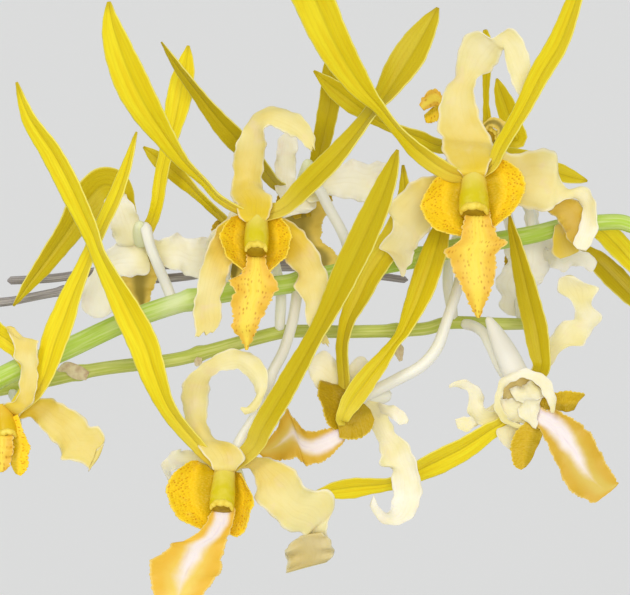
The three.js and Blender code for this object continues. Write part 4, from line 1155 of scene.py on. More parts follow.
@dataclass
class Bloom:
    """One flower: petals with column, sepals with spur and stem, and lip."""

    letter: str
    plan: BloomPlan
    wardrobe: Wardrobe
    petal_form: BladeForm = BladeForm(cup=0.13, fold=0.16, thick=0.7, rim=0.22, soften=2.2)
    sepal_form: BladeForm = BladeForm(
        cup=0.06, wave=0.8, cycles=2.5, thick=0.65, rim=0.18, ragged=0.09, lanes=25, station=0.3
    )
    lip_form: BladeForm = BladeForm(
        cup=0.08, wave=0.4, cycles=3.5, keels=0.18, teeth=0.5, tooth=0.95, lanes=33, station=0.12
    )
    smooth_lip_form: BladeForm = BladeForm(
        cup=0.1, wave=0.5, cycles=3, keels=0.03, teeth=0.3, tooth=0.7, ragged=0.08, lanes=33, station=0.14
    )
    lobe_form: BladeForm = BladeForm(
        cup=0.14, wave=0.25, cycles=2.5, teeth=0.3, tooth=0.62, outer_only=True, lanes=23, station=0.1
    )

    def build(self) -> list[Piece]:
        """Makes the bloom's three pieces."""
        return [self.sepals(), self.petals(), self.lip()]

    def rooted(self, foot: Row, blade: Blade) -> Blade:
        """A blade that grows from a place in the bloom's middle."""
        if isinstance(blade, Edges):
            return blade.rooted(foot, self.plan.root_width)
        return [(*foot[:3], self.plan.root_width, blade[0][4]), *blade]

    def sepals(self) -> Piece:
        """Makes the sepals with the spur and the stem.

        Returns:
            The piece.
        """
        skin = Skin(f"bloom_{self.letter}_sepals_fine")
        foot = self.plan.stems[0][0]
        form = replace(self.sepal_form, torn=self.plan.torn)
        tints = (*self.plan.tints, *[0] * len(self.plan.sepals))
        for seed, (blade, tint) in enumerate(zip(self.plan.sepals, tints)):
            course = form.ribbon(self.rooted(foot, blade))
            root, tip = self.plan.warmth
            form.lay(skin, course, 0, (root + tint, tip + tint), seed + ord(self.letter))
        # Sheets of painted shade laid on rolled sepals where their inside shows.
        for inside in self.plan.painted_shade_insides:
            form.lay(skin, form.ribbon(inside), 2, (self.plan.inside_shade_warmth,) * 2, 3)
        spur, stem = self.plan.stems
        add_stem(skin, spur, 1, self.plan.spur_green, 18)
        add_stem(skin, stem, 1, 0.15, 16, 0.05)
        looks = [self.wardrobe.sepal, self.wardrobe.stem, self.wardrobe.inside]
        return dress(skin.build(looks), Slot.SEPAL, f"bloom_{self.letter}_sepals")

    def petals(self) -> Piece:
        """Makes two twisted petals with the column between them.

        Returns:
            The piece.
        """
        skin = Skin(f"bloom_{self.letter}_petals_fine")
        heart = np.mean([row[:3] for row in self.plan.column[:2]], axis=0) + (0, 0, 1.4)
        for seed, blade in enumerate(self.plan.petals):
            course = self.petal_form.ribbon(self.rooted(tuple(heart), blade))
            # Each petal's painted shade rides on the warmth its skin carries.
            shade = self.plan.painted_petal_shades[seed]
            self.petal_form.lay(skin, course, 0, (shade, shade), seed + 7)
        self.column(skin)
        looks = [self.wardrobe.petal, self.wardrobe.column, self.wardrobe.cap, self.wardrobe.hollow]
        return dress(skin.build(looks), Slot.PETAL, f"bloom_{self.letter}_petals")

    def column(self, skin: Skin) -> None:
        """Adds the column, a dark plug under its end that stands for its hollow in painted shade, and the
        pale cap over it.

        Args:
            skin: Where it goes.
        """
        rows = self.plan.column
        data = np.column_stack([SHEET.places(rows), [row[3] for row in rows]])
        path = smooth(data, 24)
        t = np.linspace(0, 1, 25)
        points = path[:, :3]
        radii = path[:, 3] * (0.82 + 0.15 * ease(t / 0.4) + 0.12 * ease((t - 0.4) / 0.4))
        along = unit(points[-1] - points[-3])
        rounded = [(0.3, 0.96), (0.6, 0.8), (0.75, 0.55)]
        outside = np.vstack([points, [points[-1] + along * far for far, _ in rounded]])
        ends = np.append(radii, [radii[-1] * share for _, share in rounded])
        add_tube(skin, outside, ends, 1, self.plan.column_gold, 28)
        front = -SHEET.to_back
        front = unit(front - along * (front @ along))
        below = points[-1] + along * 0.35 - front * 0.15 * radii[-1]
        # Dark plug in painted shade, for the hollow under the column's end.
        hollow = [(0.0, 0.9), (0.45, 0.86), (0.7, 0.66), (0.8, 0.3)]
        places = np.array([below + along * far for far, _ in hollow])
        add_tube(skin, places, np.array([radii[-1] * share for _, share in hollow]), 3, 0, 24)
        self.cap(skin, points[-1] + along * 0.3, along, front, radii[-1])

    @staticmethod
    def cap(skin: Skin, end: Grid, along: Grid, front: Grid, radius: float) -> None:
        """Adds the pale crescent over the front of the column's end, its horns hooked down.

        Args:
            skin: Where it goes.
            end: Middle of the column's end.
            along: Direction of the column.
            front: Direction square to it that faces the viewer.
            radius: Radius of the column there.
        """
        side = np.cross(along, front)
        angle = np.linspace(-1.45, 1.45, 25)
        hook = (np.abs(angle) / 1.45) ** 3
        arc = (
            end
            + radius * 0.8 * (np.outer(np.cos(angle) ** 0.8, front) + np.outer(np.sin(angle) * 1.08, side))
            + np.outer(0.05 + 0.75 * hook + 0.08 * np.sin(9 * angle), along)
        )
        add_tube(skin, arc, 0.16 + 0.2 * radius * np.cos(angle / 1.45 * math.pi / 2) ** 0.7, 2, 0, 12)

    def lip(self) -> Piece:
        """Makes the middle lobe and the side lobes.

        Returns:
            The piece.
        """
        skin = Skin(f"bloom_{self.letter}_lip_fine")
        form = self.lip_form if self.plan.look is LipLook.SPOTTED else self.smooth_lip_form
        form.lay(skin, form.ribbon(self.plan.lip), 0, (self.plan.lip_shade,) * 2, ord(self.letter))
        end = SHEET.places(self.plan.column)[-1]
        for seed, blade in enumerate(self.plan.lobes):
            course = self.lobe_form.ribbon(blade)
            if not isinstance(blade, Edges):
                course = course.away_from(end)
            shade = self.plan.lobe_shade
            self.lobe_form.lay(skin, course, 1, (shade, shade), seed + ord(self.letter))
        looks = [self.wardrobe.middles[self.plan.look], self.wardrobe.side_lobe]
        return dress(skin.build(looks), Slot.LIP, f"bloom_{self.letter}_lip")


class Recipe(Tree):
    """Geometry Nodes tree with named inputs, run once on an object and kept as a plain mesh."""

    def __init__(self, name: str) -> None:
        """Starts a tree that takes in and gives out geometry.

        Args:
            name: Its name.
        """
        super().__init__(bpy.data.node_groups.new(name, "GeometryNodeTree"))
        for way in ("INPUT", "OUTPUT"):
            self.tree.interface.new_socket("Geometry", in_out=way, socket_type="NodeSocketGeometry")
        self.entry = self.node("NodeGroupInput")
        self.exit = self.node("NodeGroupOutput")

    @property
    def given(self) -> Socket:
        """Geometry that the tree is run on."""
        return self.entry.outputs["Geometry"]

    def asks(self, name: str, kind: str) -> Socket:
        """A named input of the tree."""
        self.tree.interface.new_socket(name, in_out="INPUT", socket_type=f"NodeSocket{kind}")
        return self.entry.outputs[name]

    def ends(self, geometry: Socket, finish: Socket) -> None:
        """Closes the tree with real geometry in its material."""
        real = self.node("GeometryNodeRealizeInstances", {"Geometry": geometry})
        dressed = self.node("GeometryNodeSetMaterial", {"Geometry": real.outputs[0], "Material": finish})
        self.tree.links.new(dressed.outputs[0], self.exit.inputs[0])

    def run(self, carrier: Piece, name: str, **values: object) -> Piece:
        """Runs the tree on an object and keeps the outcome.

        Args:
            carrier: What it is run on, which is used up.
            name: Name of the outcome.
            **values: Value of each named input.

        Returns:
            A plain mesh object at the origin.
        """
        modifier = carrier.modifiers.new(self.tree.name, "NODES")
        modifier.node_group = self.tree
        for item in self.tree.interface.items_tree:
            if item.in_out == "INPUT" and item.name in values:
                modifier[item.identifier] = values[item.name]
        graph = bpy.context.evaluated_depsgraph_get()
        mesh = bpy.data.meshes.new_from_object(carrier.evaluated_get(graph))
        carrier.modifiers.remove(modifier)
        bpy.data.objects.remove(carrier)
        mesh.name = name
        return put(name, mesh)


class Sweep(Recipe):
    """Round stem along a chain of points that carry their reach."""

    def __init__(self) -> None:
        """Builds the tree."""
        super().__init__("sweep")
        corners, finish = self.asks("Corners", "Int"), self.asks("Finish", "Material")
        path = self.node("GeometryNodeMeshToCurve", {"Mesh": self.given})
        ring = self.node("GeometryNodeCurvePrimitiveCircle", {"Resolution": corners, "Radius": 1.0})
        length = self.node("GeometryNodeSplineParameter").outputs["Length"]
        place = self.node("GeometryNodeInputPosition").outputs[0]
        far = self.kept(path.outputs[0], "far", length, "FLOAT")
        round_ring = self.kept(ring.outputs["Curve"], "round", place, "FLOAT_VECTOR")
        reach = self.node("GeometryNodeInputNamedAttribute", {"Name": "reach"}).outputs[0]
        skin = self.node(
            "GeometryNodeCurveToMesh",
            {"Curve": far, "Profile Curve": round_ring, "Scale": reach, "Fill Caps": True},
        )
        self.ends(self.node("GeometryNodeSetShadeSmooth", {"Geometry": skin.outputs[0]}).outputs[0], finish)

    def kept(self, geometry: Socket, name: str, value: Socket, kind: str) -> Socket:
        """Keeps a value on the points of some geometry.

        Args:
            geometry: The geometry.
            name: Name of the value.
            value: The value.
            kind: Its type.

        Returns:
            The geometry that carries it.
        """
        return self.node(
            "GeometryNodeStoreNamedAttribute", {"Geometry": geometry, "Name": name, "Value": value},
            data_type=kind, domain="POINT",
        ).outputs[0]

    def along(self, name: str, points: Grid, radii: Grid, finish: Material, corners: int = 20) -> Piece:
        """Makes a stem with rounded ends.

        Args:
            name: Its name.
            points: Path in millimetres.
            radii: Radius at each point.
            finish: Its material.
            corners: How many corners round it.

        Returns:
            The stem.
        """
        run = run_length(points)
        near_end = np.minimum(run, run[-1] - run) / np.maximum(radii, 0.1)
        reach = radii * np.sqrt(np.clip(1 - (1 - np.clip(near_end, 0, 1)) ** 2, 0.04, 1))
        mesh = bpy.data.meshes.new(name)
        chain = [(i, i + 1) for i in range(len(points) - 1)]
        mesh.from_pydata((points * MM).tolist(), chain, [])
        carried = mesh.attributes.new("reach", "FLOAT", "POINT")
        carried.data.foreach_set("value", (reach * MM).astype(np.float32))
        return self.run(put(name, mesh), name, Corners=corners, Finish=finish)


class Chips(Recipe):
    """Rough chips strewn over a surface."""

    MOST = 9000.0
    """How many chips there may be on a square metre."""
    ROUGH = 0.011
    """How far the roughness moves a chip's surface, in metres, for a noise of one."""

    def __init__(self) -> None:
        """Builds the tree."""
        super().__init__("chips")
        asked = {"Seed": "Int", "Spacing": "Float", "Chip": "Vector", "Finish": "Material"}
        seed, spacing, size, finish = (self.asks(name, kind) for name, kind in asked.items())
        spots = self.node(
            "GeometryNodeDistributePointsOnFaces",
            {"Mesh": self.given, "Distance Min": spacing, "Density Max": self.MOST, "Seed": seed},
            distribute_method="POISSON",
        )
        chip = self.node(
            "GeometryNodeMeshCube", {"Size": size, "Vertices X": 6, "Vertices Y": 5, "Vertices Z": 3}
        )
        lean = self.random("FLOAT_VECTOR", (-0.5, -0.5, 0.0), (0.5, 0.5, 2 * math.pi), seed)
        turn = self.node("FunctionNodeEulerToRotation", {"Euler": lean})
        scale = self.random("FLOAT_VECTOR", (0.55, 0.6, 0.6), (1.25, 1.3, 1.2), seed)
        strewn = self.node(
            "GeometryNodeInstanceOnPoints",
            {
                "Points": spots.outputs[0], "Instance": chip.outputs[0],
                "Rotation": turn.outputs[0], "Scale": scale,
            },
        )
        real = self.node("GeometryNodeRealizeInstances", {"Geometry": strewn.outputs[0]})
        noise = self.node("ShaderNodeTexNoise", {"Scale": 150.0, "Detail": 2.0})
        middle = {0: noise.outputs["Color"], 1: (0.5, 0.5, 0.5)}
        centred = self.node("ShaderNodeVectorMath", middle, operation="SUBTRACT")
        by = {0: centred.outputs[0], "Scale": self.ROUGH}
        shift = self.node("ShaderNodeVectorMath", by, operation="SCALE")
        moved = {"Geometry": real.outputs[0], "Offset": shift.outputs[0]}
        self.ends(self.node("GeometryNodeSetPosition", moved).outputs[0], finish)

    def random(self, kind: str, low: Row, high: Row, seed: Socket) -> Socket:
        """A random value for each point."""
        return self.node(
            "FunctionNodeRandomValue", {"Min": low, "Max": high, "Seed": seed}, data_type=kind
        ).outputs["Value"]


@dataclass(frozen=True)
class Bract:
    """Small dry scale on a stalk, along rows on the sheet."""

    name: str
    rows: list[Row]
    form: BladeForm = BladeForm(cup=0.25, wave=0.5, cycles=1.5, thick=0.4, rim=0.14, lanes=13, station=0.25)

    def build(self, finish: Material) -> Piece:
        """Makes the scale."""
        skin = Skin(self.name)
        self.form.lay(skin, self.form.ribbon(self.rows), 0, (0, 0), 5)
        return dress(skin.build([finish]), Slot.STALK)


@dataclass
class FlowerStalk:
    """Long stem through points in space, in millimetres, and then along rows on the sheet."""

    name: str
    start: list[Row]
    rows: list[Row]
    finish: Material
    slot: Slot = Slot.STALK
    foot_extra: float = 0.2
    joints: tuple[float, ...] = ()
    joint_rise: float = 0.28

    def build(self, sweep: Sweep) -> Piece:
        """Makes the stalk in the place of its node.

        Args:
            sweep: Makes round stems.

        Returns:
            The stalk.
        """
        points = np.vstack([np.array(self.start, float).reshape(-1, 3), SHEET.places(self.rows)])
        radii = [self.rows[0][3] + self.foot_extra] * len(self.start) + [row[3] for row in self.rows]
        path = smooth(np.column_stack([points, radii]), 14 * (len(points) - 1))
        on_sheet = SHEET.half_width + (path[:, 0] - SHEET.middle[0])
        swell = sum(np.exp(-(((on_sheet - joint) / 0.9) ** 2)) for joint in self.joints)
        reach = path[:, 3] + self.joint_rise * (swell if self.joints else 0)
        made = sweep.along(f"{self.name}_fine", path[:, :3], reach, self.finish)
        return dress(made, self.slot, self.name)


@dataclass(frozen=True)
class LeafForm:
    """Leaf of a cane, in millimetres."""

    length: float = 85
    width: float = 25
    droop: float = 0.42
    fold: float = 0.35
    thick: float = 0.9
    rim: float = 0.35
    lanes: int = 15
    stations: int = 36

    def half_width(self, t: Grid) -> Grid:
        """Half the width along the leaf.

        Args:
            t: Shares of the length.

        Returns:
            Half the width at each share.
        """
        foot = 0.3 + 0.65 * ease(t / 0.25)
        belly = 0.05 * np.sin(np.pi * np.clip((t - 0.2) / 0.45, 0, 1))
        tip = 0.87 * np.clip((t - 0.6) / 0.4, 0, 1) ** 1.7
        return self.width / 2 * (foot + belly - tip)

    def lay(self, skin: Skin, foot: Grid, compass: float, reach: float, rise: float) -> None:
        """Adds a leaf to a skin.

        Args:
            skin: Where it goes.
            foot: Where it leaves the cane.
            compass: Direction it goes in, in radians.
            reach: Its length, as a share of the longest.
            rise: How steeply it starts.
        """
        t = np.linspace(0, 1, self.stations)
        length = self.length * reach
        out = np.array([math.cos(compass), math.sin(compass), 0])
        side = np.array([-math.sin(compass), math.cos(compass), 0])
        height = length * (rise * t - self.droop * t**2)
        middle = foot + np.outer(length * t, out) + np.outer(height, [0, 0, 1])
        up = unit(np.cross(unit(np.gradient(middle, axis=0)), side))
        up *= np.where(up[:, 2:] < 0, -1, 1)
        s = np.linspace(-1, 1, self.lanes)
        half = self.half_width(t)[:, None]
        wave = 0.5 * np.sin(9 * t + compass)[:, None] * s * np.abs(s) * np.sin(np.pi * t)[:, None]
        lift = self.fold * half * np.abs(s) ** 1.25 + wave
        thick = (self.rim + (self.thick - self.rim) * (1 - s**2))[None] / 2 * np.ones_like(half)
        spine = middle[:, None] + side * (s * half)[..., None] + np.array([0, 0, 1]) * lift[..., None]
        over = up[:, None] * thick[..., None]
        rings = np.concatenate([spine + over, (spine - over)[:, ::-1]], axis=1)
        lanes = np.concatenate([s, s[::-1], s[:1]])
        share = pairs((lanes + 1)[None] / 2, t[:, None])
        size = pairs(lanes[None] * half / 10, (t * length)[:, None] / 10)
        skin.add_rings(rings, share, size, 0, np.zeros(len(t)))


@dataclass
class LeafyCane:
    """Cane with a leaf at each of its upper joints, in millimetres."""

    number: int
    path: list[Row]
    leaves: int
    first: float
    side: float
    form: LeafForm = LeafForm()
    radii: tuple[float, ...] = (3.2, 5.6, 7, 5.6, 2.6)
    last: float = 0.98
    lengths: tuple[float, float] = (0.78, 1)
    rises: tuple[float, float] = (0.6, 0.98)
    stray: float = 9
    joint_gap: float = 24
    bulge: float = 0.45
    waist: float = 0.25

    def curve(self, steps: int) -> Grid:
        """Path and radius of the cane, in even steps."""
        return smooth(np.column_stack([np.array(self.path, float), self.radii]), steps)

    def build(self, sweep: Sweep, bark: Material, green: Material) -> list[Piece]:
        """Makes the cane and its leaves in the place of their node.

        Args:
            sweep: Makes round stems.
            bark: Material of the cane.
            green: Material of the leaves.

        Returns:
            The cane and its leaves.
        """
        path = self.curve(150)
        run = run_length(path[:, :3])
        ring = np.abs(run / self.joint_gap - np.round(run / self.joint_gap)) * self.joint_gap
        bulge, waist = np.exp(-((ring / 0.9) ** 2)), np.exp(-(((ring - 2.2) / 1.1) ** 2))
        reach = path[:, 3] + self.bulge * bulge - self.waist * waist
        cane = sweep.along(f"cane_{self.number}", path[:, :3], reach, bark, 28)
        leaves = self.leaf_skin().build([green])
        node = f"leafy_cane_{self.number}"
        return [dress(cane, Slot.STALK, node), dress(leaves, Slot.LEAF, node)]

    def leaf_skin(self) -> Skin:
        """Lays the leaves at their joints.

        Returns:
            The leaves, not yet an object.
        """
        skin = Skin(f"cane_{self.number}_leaves")
        curve = self.curve(200)
        for i in range(self.leaves):
            share = self.first + (self.last - self.first) * i / (self.leaves - 1)
            compass = math.radians(self.side + (i % 2) * 180 + (i % 3) * self.stray)
            reach = self.lengths[0] + (self.lengths[1] - self.lengths[0]) * math.sin(math.pi * share)
            rise = self.rises[0] + (self.rises[1] - self.rises[0]) * share
            self.form.lay(skin, curve[round(share * 200), :3], compass, reach, rise)
        return skin


def turned(name: str, outline: Sequence[tuple[float, float]], sides: int) -> Piece:
    """Solid turned about the upright axis, from an outline of radius and height that starts and ends on it.

    Args:
        name: Its name.
        outline: The corners, in millimetres.
        sides: Corners round it.

    Returns:
        The object.
    """
    corners = outline[1:-1]
    angle = 2 * np.pi * np.arange(sides) / sides
    rings = [
        np.column_stack([radius * np.cos(angle), radius * np.sin(angle), np.full(sides, height)])
        for radius, height in corners
    ]
    points = np.vstack([*rings, [(0, 0, outline[0][1])], [(0, 0, outline[-1][1])]]) * MM
    following = (np.arange(sides) + 1) % sides
    faces = []
    for ring in range(len(corners) - 1):
        low, high = ring * sides, (ring + 1) * sides
        faces += [(low + j, low + k, high + k, high + j) for j, k in enumerate(following)]
    bottom, top = len(points) - 2, len(points) - 1
    last = (len(corners) - 1) * sides
    faces += [(bottom, k, j) for j, k in enumerate(following)]
    faces += [(top, last + j, last + k) for j, k in enumerate(following)]
    mesh = bpy.data.meshes.new(name)
    mesh.from_pydata(points.tolist(), [], [tuple(int(n) for n in face) for face in faces])
    return put(name, mesh)


@dataclass(frozen=True)
class Pot:
    """Plain clay pot with a rim band and drain holes, in millimetres."""

    height: float = 105
    radius: float = 62
    foot: float = 44
    wall: float = 5
    floor: float = 7
    rim_height: float = 22
    rim_out: float = 4
    holes: int = 4
    hole_radius: float = 5
    hole_circle: float = 25
    drilled: tuple[float, float] = (-9, 16)
    drill_sides: int = 32
    sides: int = 120
    sharp: float = 38

    def outside(self, height: float) -> float:
        """Radius of the outside under the rim band."""
        return self.foot + (self.radius - self.foot) * height / (self.height - self.rim_height)

    def outline(self) -> list[tuple[float, float]]:
        """Corners from the middle of the bottom round to the middle of the floor.

        Returns:
            Radius and height of each.
        """
        band, rim, top = self.height - self.rim_height, self.radius + self.rim_out, self.height
        return [
            (0, 0), (self.foot - 1.2, 0), (self.foot - 0.3, 0.4), (self.foot + 0.2, 1.3),
            (self.outside(40), 40), (self.radius, band), (rim - 1, band), (rim - 0.3, band + 0.6),
            (rim, band + 2), (rim, top - 2.2), (rim - 0.6, top - 0.7), (rim - 2, top),
            (self.radius, top), (self.radius - 0.9, top - 0.6),
            (self.outside(band) - self.wall, band), (self.outside(self.floor) - self.wall, self.floor),
            (0, self.floor),
        ]

    def build(self, finish: Material) -> Piece:
        """Makes the pot in the place of its node.

        Args:
            finish: Its material.

        Returns:
            The pot.
        """
        body = turned("pot_fine", self.outline(), self.sides)
        low, high = self.drilled
        hole = [(0, low), (self.hole_radius, low), (self.hole_radius, high), (0, high)]
        drills = []
        for i in range(self.holes):
            angle = 2 * math.pi * (i + 0.5) / self.holes
            drill = turned(f"drill_{i}", hole, self.drill_sides)
            reach = self.hole_circle * math.cos(angle), self.hole_circle * math.sin(angle)
            drill.location = (reach[0] * MM, reach[1] * MM, 0)
            cut = body.modifiers.new(drill.name, "BOOLEAN")
            cut.operation = "DIFFERENCE"
            cut.object = drill
            drills.append(drill)
        graph = bpy.context.evaluated_depsgraph_get()
        mesh = bpy.data.meshes.new_from_object(body.evaluated_get(graph))
        body.modifiers.clear()
        body.data = mesh
        for drill in drills:
            bpy.data.objects.remove(drill)
        mesh.materials.append(finish)
        mesh.polygons.foreach_set("use_smooth", np.ones(len(mesh.polygons), bool))
        mesh.set_sharp_from_angle(angle=math.radians(self.sharp))
        return dress(body, Slot.CLAY, "pot")


@dataclass(frozen=True)
class BarkMix:
    """Bark that fills the pot: a body and chips on top of it, in millimetres."""

    pot: Pot
    top: float = 92
    mound: float = 3
    seat: float = 0.3
    chip: tuple[float, float, float] = (17, 11, 6.5)
    spacing: float = 8
    seed: int = 7

    def inside(self, height: float) -> float:
        """Radius of the room in the pot, just clear of its wall."""
        return self.pot.outside(height) - self.pot.wall - self.seat

    def build(self, chips: Chips, finish: Material) -> list[Piece]:
        """Makes the fill in the place of its node, and the chips on it.

        Args:
            chips: Strews chips.
            finish: Material of both.

        Returns:
            The fill and the chips.
        """
        bottom = self.pot.floor + self.seat
        band = self.pot.height - self.pot.rim_height
        room = self.inside(band)
        outline = [
            (0, bottom), (self.inside(bottom), bottom), (room, band), (room, self.top - 1),
            (room - 2, self.top), (room * 0.5, self.top + self.mound * 0.7), (0, self.top + self.mound),
        ]
        fill = turned("bark_fill", outline, 72)
        fill.data.materials.append(finish)
        reach = room - self.chip[0] * 0.62
        ground = turned("ground", [(0, self.top), (reach, self.top), (0, self.top + self.mound)], 48)
        strewn = chips.run(
            ground, "bark_chips", Seed=self.seed, Spacing=self.spacing * MM,
            Chip=tuple(side * MM for side in self.chip), Finish=finish,
        )
        return [dress(fill, Slot.BARK, "bark_mix"), dress(strewn, Slot.BARK)]


@dataclass(frozen=True)
class Studio:
    """Plain pale floor, soft light and the camera."""

    distance: float = 1.0
    sensor: float = 36
    floor_size: float = 120

    def build(self) -> None:
        """Sets everything up."""
        scene = bpy.context.scene
        scene.view_settings.view_transform = "Standard"
        self.floor()
        self.world(scene)
        self.sun("key", 0.75, 20, (52, -4, -24))
        self.sun("fill", 1.1, 20, (80, 0, 4))
        self.camera(scene)

    def floor(self) -> None:
        """Adds the floor."""
        half = self.floor_size / 2
        mesh = bpy.data.meshes.new("floor")
        corners = [(-half, -half, 0), (half, -half, 0), (half, half, 0), (-half, half, 0)]
        mesh.from_pydata(corners, [], [(0, 1, 2, 3)])
        mesh.materials.append(FloorFinish().material())
        put("floor", mesh)

    @staticmethod
    def world(scene: bpy.types.Scene) -> None:
        """Lights everything evenly from all round.

        Args:
            scene: The scene.
        """
        scene.world = bpy.data.worlds.new("studio")
        scene.world.use_nodes = True
        sky = scene.world.node_tree.nodes["Background"]
        sky.inputs["Color"].default_value = (0.95, 0.97, 1, 1)
        sky.inputs["Strength"].default_value = 0.6

    @staticmethod
    def sun(name: str, energy: float, spread: float, turn: tuple[float, float, float]) -> None:
        """Adds a soft sun.

        Args:
            name: Its name.
            energy: Strength.
            spread: Angle that it fills, in degrees.
            turn: Turn about X, Y and Z, in degrees.
        """
        lamp = bpy.data.lights.new(name, "SUN")
        lamp.energy = energy
        lamp.angle = math.radians(spread)
        put(name, lamp).rotation_euler = [math.radians(angle) for angle in turn]

    def camera(self, scene: bpy.types.Scene) -> None:
        """Adds the camera, one metre in front of the sheet, with the sheet filling its picture.

        Args:
            scene: The scene.
        """
        lens = bpy.data.cameras.new("camera")
        lens.sensor_width = self.sensor
        lens.lens = self.sensor * self.distance / (2 * SHEET.half_width * MM)
        lens.clip_end = 200
        camera = put("camera", lens)
        away, up = Vector(SHEET.to_back), Vector(SHEET.to_top)
        camera.matrix_world = Matrix.Translation(Vector(SHEET.middle) * MM - away * self.distance) @ Matrix(
            (away.cross(up), up, -away)
        ).transposed().to_4x4()
        scene.camera = camera


BLOOM_C = BloomPlan(
    petals=[
        [(37, 33.3, -11, 2.6, 60), (34, 30.2, -13, 2.6, 64), (30.5, 26.8, -15, 3.6, 55),
         (27, 22, -17.5, 5, 40), (24, 17.3, -20, 6.2, 30), (21.3, 11.7, -22, 6.4, 27),
         (19, 5, -24, 4.4, 33), (18.2, 0.3, -25, 0.8, 40)],
        [(47.2, 34.7, -10, 3.2, 35), (50.8, 31.3, -11.5, 4.4, 35), (55, 27.2, -13, 4.6, 38),
         (58.7, 23, -13.5, 4.2, 50), (62, 18.8, -14, 4.2, 64), (64.3, 15.8, -14, 4.8, 48),
         (66.7, 12, -13.5, 6, 30), (69.2, 8, -13, 6.2, 28), (71.7, 3.7, -12.5, 3.4, 35),
         (73, 1.3, -12, 0.6, 35)],
    ],
    column=[(42.8, 34.8, -8.5, 1.7), (42.8, 38, -11, 1.9), (42.7, 41.2, -13, 1.8)],
    sepals=[
        Edges([(246, 222, 266, 221, -11.4), (237, 213, 271, 211, -10.6), (236, 203, 272, 201, -9),
            (231, 193, 266, 192, -7.4), (232, 180, 262, 181, -5.5), (233, 164, 263, 168, -5.5),
            (235, 150, 266, 152, -6), (239, 137, 266, 139, -6.5, -7), (246, 124, 266, 130, -6.5, -8.5),
            (256, 112, 269, 126, -6.5, -9.5), (270, 105, 275, 127, -7, -10),
            (287, 107, 284, 131, -8, -10.5), (303, 118, 294, 136, -9.5, -11),
            (314, 134, 303, 143, -11, -11.5), (315, 148, 311, 150, -12)]),
        Edges([(222, 222, 242, 240, -8, -7.5), (210, 241, 236, 257, -9, -8),
            (204, 258, 229, 268, -9.5, -8.5), (198, 278, 227, 281, -10, -9.5),
            (196, 297, 222, 292, -10.5, -10), (192, 312, 221, 309, -11.5, -10.5),
            (195, 326, 221, 321, -12, -11), (195, 337, 215, 331, -12.5, -11.5)]),
        Edges([(268, 238, 289, 221, -7.5), (280, 254, 304, 232, -8, -8.5), (291, 266, 318, 251, -8.5, -9.5),
            (297, 277, 327, 272, -9, -10), (294, 287, 329, 289, -10, -11), (303, 300, 325, 305, -11, -11.5),
            (306, 319, 323, 321, -12), (313, 332, 326, 335, -12), (323, 345, 330, 344, -12.3)]),
    ],
    lip=Edges([(249, 240, 264, 240, -8.6), (247, 250, 265, 250, -9.6), (247, 258, 265, 258, -12),
        (246, 267, 267, 267, -12.6), (239, 275, 272, 275, -13), (229, 281, 279, 287, -13.4),
        (235, 292, 274, 294, -13.8), (231, 301, 270, 303, -14), (233, 317, 263, 316, -14),
        (232, 327, 258, 327, -13.8), (239, 336, 254, 335, -13), (244, 345, 250, 344, -12.4),
        (245, 350, 248, 350, -12)]),
    lobes=[
        Edges([(252, 266, 243, 273, -9.5, -13.4), (250, 260, 232, 264, -8.8, -13.4),
            (250, 251, 223, 254, -8.4, -13), (250, 240, 218, 241, -8.2, -12.4),
            (250, 230, 221, 229, -8, -11.6), (248, 222, 228, 220, -7.8, -10.6),
            (244, 217, 237, 216, -7.6, -8.6)]),
        Edges([(262, 266, 271, 273, -9.5, -13.4), (263, 260, 281, 264, -8.8, -13.4),
            (264, 251, 290, 254, -8.4, -13), (264, 240, 293, 241, -8.2, -12.4),
            (264, 230, 291, 229, -8, -11.6), (265, 222, 284, 220, -7.8, -10.6),
            (269, 217, 276, 216, -7.6, -8.6)]),
    ],
    stems=[
        [(43, 36.2, -6.5, 1.6), (44.4, 40, -2.5, 1.4), (46.2, 43.9, -0.3, 0.7)],
        [(43, 36.4, -6, 1), (44.3, 39.4, 1, 0.9), (45.8, 44, 4.2, 0.9), (46.8, 49, 5, 0.9),
         (46.7, 53, 5.8, 0.9), (46.6, 55.2, 6.6, 0.8)],
    ],
    warmth=(1.1, 0.5), torn=0.25, painted_petal_shades=(0.15, 0.8),
)
